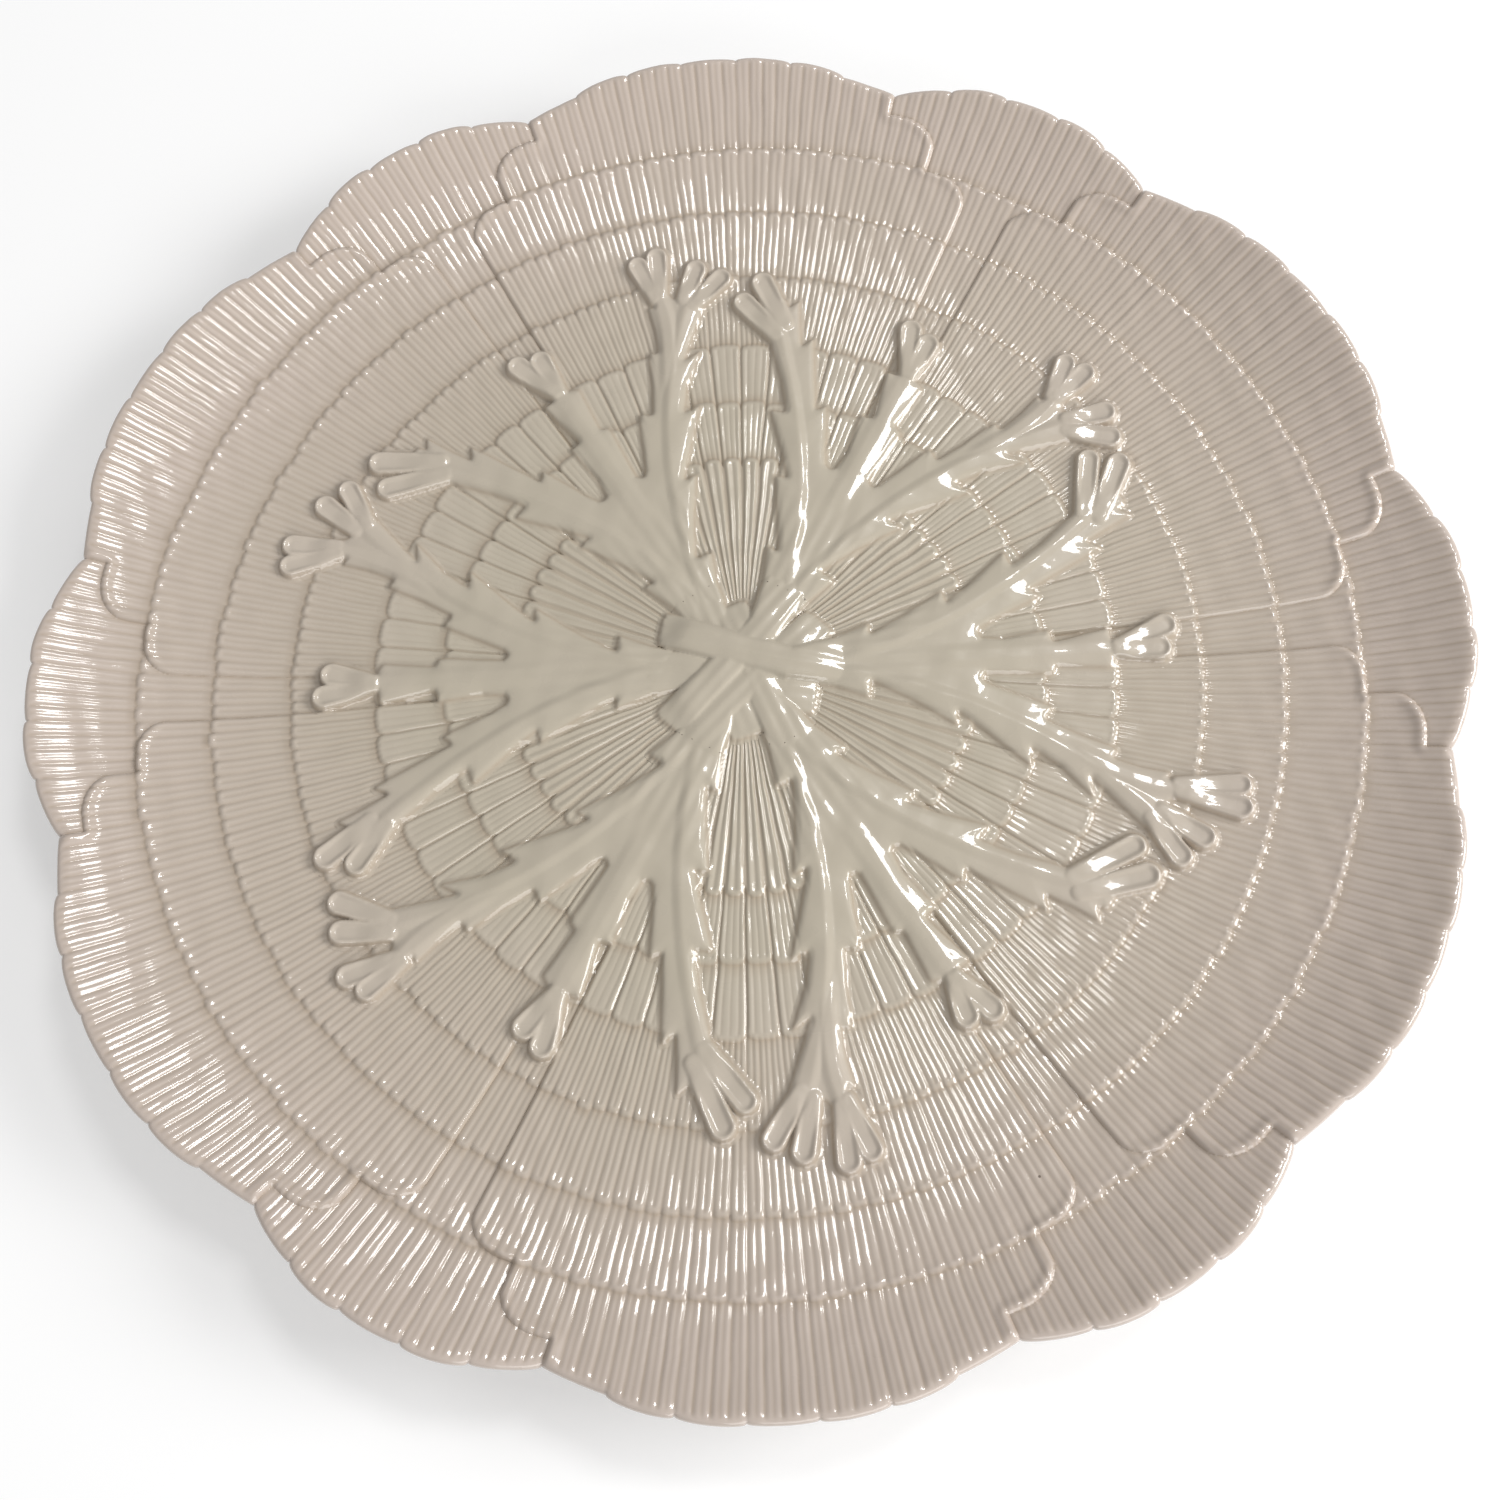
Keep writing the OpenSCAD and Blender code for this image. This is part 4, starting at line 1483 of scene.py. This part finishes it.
class Wire:
    """A shader value that takes part in sums: each operator adds its Math node."""

    def __init__(self, book: "NodeBook", socket: bpy.types.NodeSocket) -> None:
        """Keep the node book and the socket that carries the value."""
        self.book, self.socket = book, socket

    def __add__(self, other: "Wire | float") -> "Wire":
        """Return this plus other."""
        return self.book.math("ADD", self, other)

    __radd__ = __add__

    def __sub__(self, other: "Wire | float") -> "Wire":
        """Return this minus other."""
        return self.book.math("SUBTRACT", self, other)

    def __rsub__(self, other: "Wire | float") -> "Wire":
        """Return other minus this."""
        return self.book.math("SUBTRACT", other, self)

    def __mul__(self, other: "Wire | float") -> "Wire":
        """Return this times other."""
        return self.book.math("MULTIPLY", self, other)

    __rmul__ = __mul__

    def __truediv__(self, other: "Wire | float") -> "Wire":
        """Return this divided by other."""
        return self.book.math("DIVIDE", self, other)

    def __rtruediv__(self, other: "Wire | float") -> "Wire":
        """Return other divided by this."""
        return self.book.math("DIVIDE", other, self)

    def __gt__(self, other: "Wire | float") -> "Wire":
        """Return 1 where this is greater, else 0."""
        return self.book.math("GREATER_THAN", self, other)

    def __lt__(self, other: "Wire | float") -> "Wire":
        """Return 1 where this is less, else 0."""
        return self.book.math("LESS_THAN", self, other)

    def held(self) -> "Wire":
        """Return this held between 0 and 1."""
        return self.book.math("ADD", self, 0.0, clamp=True)


class NodeBook:
    """Builds one material's nodes."""

    def __init__(self, name: str) -> None:
        """Start an empty material.

        Args:
            name: The material's name.
        """
        self.material = bpy.data.materials.new(name)
        self.material.use_nodes = True
        self.tree = self.material.node_tree
        self.tree.nodes.clear()

    def node(self, kind: str, settings: dict | None = None, inputs: dict | None = None,
             out: int | str = 0) -> Wire:
        """Add a node.

        Args:
            kind: The node's type.
            settings: Values of its own properties; "stops" are a ramp's places and colours.
            inputs: Values or wires of its sockets, by name or number.
            out: Which of its outputs to use.

        Returns:
            The wire of that output.
        """
        node = self.tree.nodes.new(kind)
        for key, value in (settings or {}).items():
            if key == "stops":
                ramp = node.color_ramp.elements
                while len(ramp) < len(value):
                    ramp.new(0.5)
                for stop, (place, colour) in zip(ramp, value):
                    stop.position, stop.color = place, colour
            else:
                setattr(node, key, value)
        for key, value in (inputs or {}).items():
            if isinstance(value, Wire):
                self.tree.links.new(value.socket, node.inputs[key])
            else:
                node.inputs[key].default_value = value
        return Wire(self, node.outputs[out])

    def math(self, operation: str, a: "Wire | float", b: "Wire | float", clamp: bool = False) -> Wire:
        """Return the result of a Math node."""
        return self.node("ShaderNodeMath", {"operation": operation, "use_clamp": clamp}, {0: a, 1: b})

    def mix(self, share: "Wire | float", a: "Wire | Sequence[float]", b: "Wire | Sequence[float]",
            blend: str = "MIX") -> Wire:
        """Return colour a changed towards b by a share."""
        return self.node("ShaderNodeMix", {"data_type": "RGBA", "blend_type": blend, "clamp_factor": True},
                         {0: share, 6: a, 7: b}, 2)

    def noise(self, place: Wire, scale: float, detail: float = 2.0) -> Wire:
        """Return smooth noise from 0 to 1."""
        return self.node("ShaderNodeTexNoise", {"noise_dimensions": "3D"},
                         {"Vector": place, "Scale": scale, "Detail": detail, "Roughness": 0.5})

    def finish(self, surface: Wire) -> bpy.types.Material:
        """Connect the surface and return the material."""
        output = self.tree.nodes.new("ShaderNodeOutputMaterial")
        self.tree.links.new(surface.socket, output.inputs["Surface"])
        return self.material


Colour = tuple[float, float, float, float]
WHITE: Colour = (1.0, 1.0, 1.0, 1.0)


@dataclass(frozen=True)
class ClearGlaze:
    """Glossy clear glaze over ivory earthenware, pinker at the rim and greener in the well."""

    name: str
    rim_colour: Colour = (0.572, 0.488, 0.428, 1.0)
    well_colour: Colour = (0.505, 0.450, 0.358, 1.0)
    # Colour of pooled glaze, also used as painted shade in grooves, at step feet and along outlines.
    pool_and_shade_colour: Colour = (0.385, 0.300, 0.215, 1.0)
    pool_and_shade_share: float = 0.66
    speck_colour: Colour = (0.10, 0.07, 0.05, 1.0)
    speck_radius: float = 0.016
    speck_share: float = 0.10
    well_radius: float = 70 * MM
    fade: float = 85 * MM
    roughness: float = 0.28
    coat_roughness: float = 0.035
    ripple: float = 0.14

    def material(self) -> bpy.types.Material:
        """Build the glaze.

        The colour goes from the well's to the rim's with the distance from the axis, is mottled
        by broad noise, and deepens where glaze has pooled; the same darkening is painted shade in
        the rib grooves, at the feet of steps and along the sprays' outlines. A few dark pin specks
        lie in it: the middles of a tenth of the cells of a Voronoi pattern. Fine noise ripples the
        surface.

        Returns:
            The material.
        """
        book = NodeBook(self.name)
        place = book.node("ShaderNodeTexCoord", None, None, "Object")
        level = book.node("ShaderNodeVectorMath", {"operation": "MULTIPLY"}, {0: place, 1: (1.0, 1.0, 0.0)})
        radius = book.node("ShaderNodeVectorMath", {"operation": "LENGTH"}, {0: level}, "Value")
        broad, small = book.noise(place, 22.0, 3.0), book.noise(place, 130.0, 2.0)
        outward = ((radius - self.well_radius) / self.fade + (broad - 0.5) * 0.5).held()
        colour = book.mix(outward, self.well_colour, self.rim_colour)
        shade = 0.955 + 0.06 * broad + 0.03 * small
        tone = book.node("ShaderNodeCombineColor", None, {0: shade, 1: shade, 2: shade - 0.01 + 0.02 * small})
        colour = book.mix(1.0, colour, tone, "MULTIPLY")
        # Painted shade: the pool colour also darkens grooves, step feet and spray outlines where shade falls.
        depth = book.node("ShaderNodeAttribute", {"attribute_name": "glaze_depth"}, None, "Fac")
        colour = book.mix((depth * self.pool_and_shade_share).held(), colour, self.pool_and_shade_colour)
        cells = {"Vector": place, "Scale": 52.0, "Randomness": 1.0}
        near = book.node("ShaderNodeTexVoronoi", None, cells, "Distance")
        pick = book.node("ShaderNodeSeparateColor", None,
                         {0: book.node("ShaderNodeTexVoronoi", None, cells, "Color")}, 0)
        speck = (near < self.speck_radius) * (pick > 1.0 - self.speck_share)
        colour = book.mix(speck * 0.8, colour, self.speck_colour)
        ripple = book.noise(place, 260.0, 1.0) * 0.7 + book.noise(place, 900.0, 1.0) * 0.05
        bump = book.node("ShaderNodeBump", None, {
            "Strength": self.ripple, "Distance": 0.2 * MM, "Height": ripple})
        surface = book.node("ShaderNodeBsdfPrincipled", None, {
            "Base Color": colour, "Roughness": self.roughness - 0.05 * (small - 0.5), "IOR": 1.5,
            "Specular IOR Level": 0.3, "Coat Weight": 1.0, "Coat Roughness": self.coat_roughness,
            "Coat IOR": 1.52, "Normal": bump})
        return book.finish(surface)


@dataclass(frozen=True)
class BareFoot:
    """Dry wiped clay on the foot, which turns to glaze above an uneven line."""

    name: str
    clay_colour: Colour = (0.62, 0.54, 0.42, 1.0)
    worn_colour: Colour = (0.40, 0.33, 0.25, 1.0)
    glaze_colour: Colour = (0.56, 0.50, 0.41, 1.0)
    glaze_line: float = 2.1 * MM
    line_wander: float = 1.4 * MM
    line_soft: float = 0.25 * MM
    worn_height: float = 0.55 * MM
    roughness: float = 0.82
    glaze_roughness: float = 0.27

    def material(self) -> bpy.types.Material:
        """Build the foot's finish.

        Below a line that noise makes uneven the clay is dull, grainy and darkest on the face
        that it stands on; above it the same glaze as the dish begins.

        Returns:
            The material.
        """
        book = NodeBook(self.name)
        place = book.node("ShaderNodeTexCoord", None, None, "Object")
        height = book.node("ShaderNodeSeparateXYZ", None, {0: place}, "Z")
        wander, grain = book.noise(place, 90.0, 3.0), book.noise(place, 1400.0, 3.0)
        glazed = ((height - self.glaze_line + (wander - 0.5) * self.line_wander) / self.line_soft).held()
        worn = (1.0 - height / self.worn_height).held() * (0.35 + 0.6 * wander)
        clay = book.mix(worn * 0.55, self.clay_colour, self.worn_colour)
        clay = book.mix((grain - 0.5) * 0.35 + 0.17, clay, self.worn_colour)
        colour = book.mix(glazed, clay, self.glaze_colour)
        bump = book.node("ShaderNodeBump", None, {
            "Strength": 0.6, "Distance": 0.1 * MM, "Height": grain * (1.0 - glazed)})
        surface = book.node("ShaderNodeBsdfPrincipled", None, {
            "Base Color": colour, "IOR": 1.5, "Coat Weight": glazed, "Coat Roughness": 0.04, "Normal": bump,
            "Roughness": self.roughness + (self.glaze_roughness - self.roughness) * glazed})
        return book.finish(surface)


# Studio

@dataclass(frozen=True)
class SoftLight:
    """A rectangular light that looks at the plate.

    The azimuth counts from +X towards +Y and the elevation from the floor, both in degrees. The
    distance is from the plate, the size is the light's width and height, and power is in watts.
    """

    name: str
    azimuth: float
    elevation: float
    distance: float
    size: tuple[float, float]
    power: float

    def hang(self) -> None:
        """Hang the light."""
        out, up = (self.distance * f(np.radians(self.elevation)) for f in (np.cos, np.sin))
        where = Vector((*polar(np.array(out), self.azimuth), up))
        data = bpy.data.lights.new(self.name, "AREA")
        data.shape, data.size, data.size_y = "RECTANGLE", *self.size
        data.energy = self.power
        light = bpy.data.objects.new(self.name, data)
        light.location = where
        light.rotation_euler = (-where).to_track_quat("-Z", "Y").to_euler()
        bpy.context.scene.collection.objects.link(light)


@dataclass(frozen=True)
class Studio:
    """Pale floor, soft lights and the camera of the photograph.

    The camera's angles are in degrees, and its place and aim are shares of the notch radius.
    """

    lens: float = 39.36
    distance_share: float = 2.2975
    tilt: float = 19.08
    roll: float = -7.52
    turn: float = 4.07
    aim_shares: tuple[float, float] = (-0.0059, -0.1566)
    notch_height: float = 23.6 * MM
    sky: float = 0.342
    floor_half: float = 6.0
    floor_colour: Colour = (0.72, 0.72, 0.72, 1.0)
    floor_glow: float = 0.34
    lights: tuple[SoftLight, ...] = (
        SoftLight("Window", -3.0, 33.0, 1.3, (0.65, 0.55), 11.6),
        SoftLight("Skylight", 47.0, 59.8, 2.5, (0.5, 0.5), 12.3),
        SoftLight("South_wall", 286.0, 26.0, 2.2, (1.6, 1.2), 17.0))

    def camera(self) -> None:
        """Place the camera: tilted back towards -Y, rolled, and turned with the plate's pattern."""
        tilt, roll, turn = (np.radians(v) for v in (self.tilt, self.roll, self.turn))
        aim = np.array([*self.aim_shares, 0.0])
        eye = aim + self.distance_share * np.array([0.0, -np.sin(tilt), np.cos(tilt)])
        ahead = (aim - eye) / np.linalg.norm(aim - eye)
        right = np.cross(ahead, [0.0, 1.0, 0.0])
        right /= np.linalg.norm(right)
        up = np.cross(right, ahead)
        axes = np.stack([np.cos(roll) * right + np.sin(roll) * up,
                         -np.sin(roll) * right + np.cos(roll) * up, -ahead])
        spin = np.array([[np.cos(turn), -np.sin(turn), 0], [np.sin(turn), np.cos(turn), 0], [0, 0, 1]])
        where = spin @ (eye * NOTCH) + [0, 0, self.notch_height]
        data = bpy.data.cameras.new("Camera")
        data.lens, data.sensor_width, data.clip_start = self.lens, 36.0, 0.01
        camera = bpy.data.objects.new("Camera", data)
        bpy.context.scene.collection.objects.link(camera)
        matrix = np.eye(4)
        matrix[:3, :3], matrix[:3, 3] = (spin @ axes.T), where
        camera.matrix_world = Matrix(matrix.tolist())
        bpy.context.scene.camera = camera

    def floor(self) -> None:
        """Lay a white floor that looks white to the camera and keeps the plate's shadow."""
        mesh = bpy.data.meshes.new("Floor")
        half = self.floor_half
        mesh.from_pydata([(-half, -half, 0), (half, -half, 0), (half, half, 0), (-half, half, 0)], [],
                         [(0, 1, 2, 3)])
        floor = bpy.data.objects.new("Floor", mesh)
        bpy.context.scene.collection.objects.link(floor)
        book = NodeBook("Floor_white")
        camera, glossy, through = (book.node("ShaderNodeLightPath", None, None, f"Is {ray} Ray")
                                   for ray in ("Camera", "Glossy", "Transmission"))
        plain = book.node("ShaderNodeBsdfDiffuse", None, {"Color": self.floor_colour})
        glow = book.node("ShaderNodeEmission", None, {"Color": WHITE, "Strength": self.floor_glow})
        white = book.node("ShaderNodeAddShader", None, {0: plain, 1: glow})
        seen = (camera + glossy + through).held()
        surface = book.node("ShaderNodeMixShader", None, {0: seen, 1: plain, 2: white})
        mesh.materials.append(book.finish(surface))

    def build(self) -> None:
        """Set up the view, the even light all round, the lights, the floor and the camera."""
        scene = bpy.context.scene
        scene.view_settings.view_transform = "Standard"
        world = scene.world or bpy.data.worlds.new("World")
        scene.world = world
        world.use_nodes = True
        background = world.node_tree.nodes["Background"].inputs
        background["Color"].default_value, background["Strength"].default_value = WHITE, self.sky
        for light in self.lights:
            light.hang()
        self.floor()
        self.camera()


def main() -> None:
    """Build every piece, then the studio."""
    logging.basicConfig(level=logging.INFO, format="%(message)s")
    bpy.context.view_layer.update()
    finishes = {
        "glazed_shells": ClearGlaze("Glazed_shells").material(),
        "glazed_sprays": ClearGlaze("Glazed_sprays").material(),
        "glazed_body": ClearGlaze("Glazed_body").material(),
        "bare_foot": BareFoot("Bare_foot").material()}
    relief, maker = PlateRelief(), PieceMaker(finishes)
    ShellSet(relief, maker).build()
    SpraySet(relief, maker).build()
    Underside(relief, maker).build()
    Studio().build()


if __name__ == "__main__":
    main()
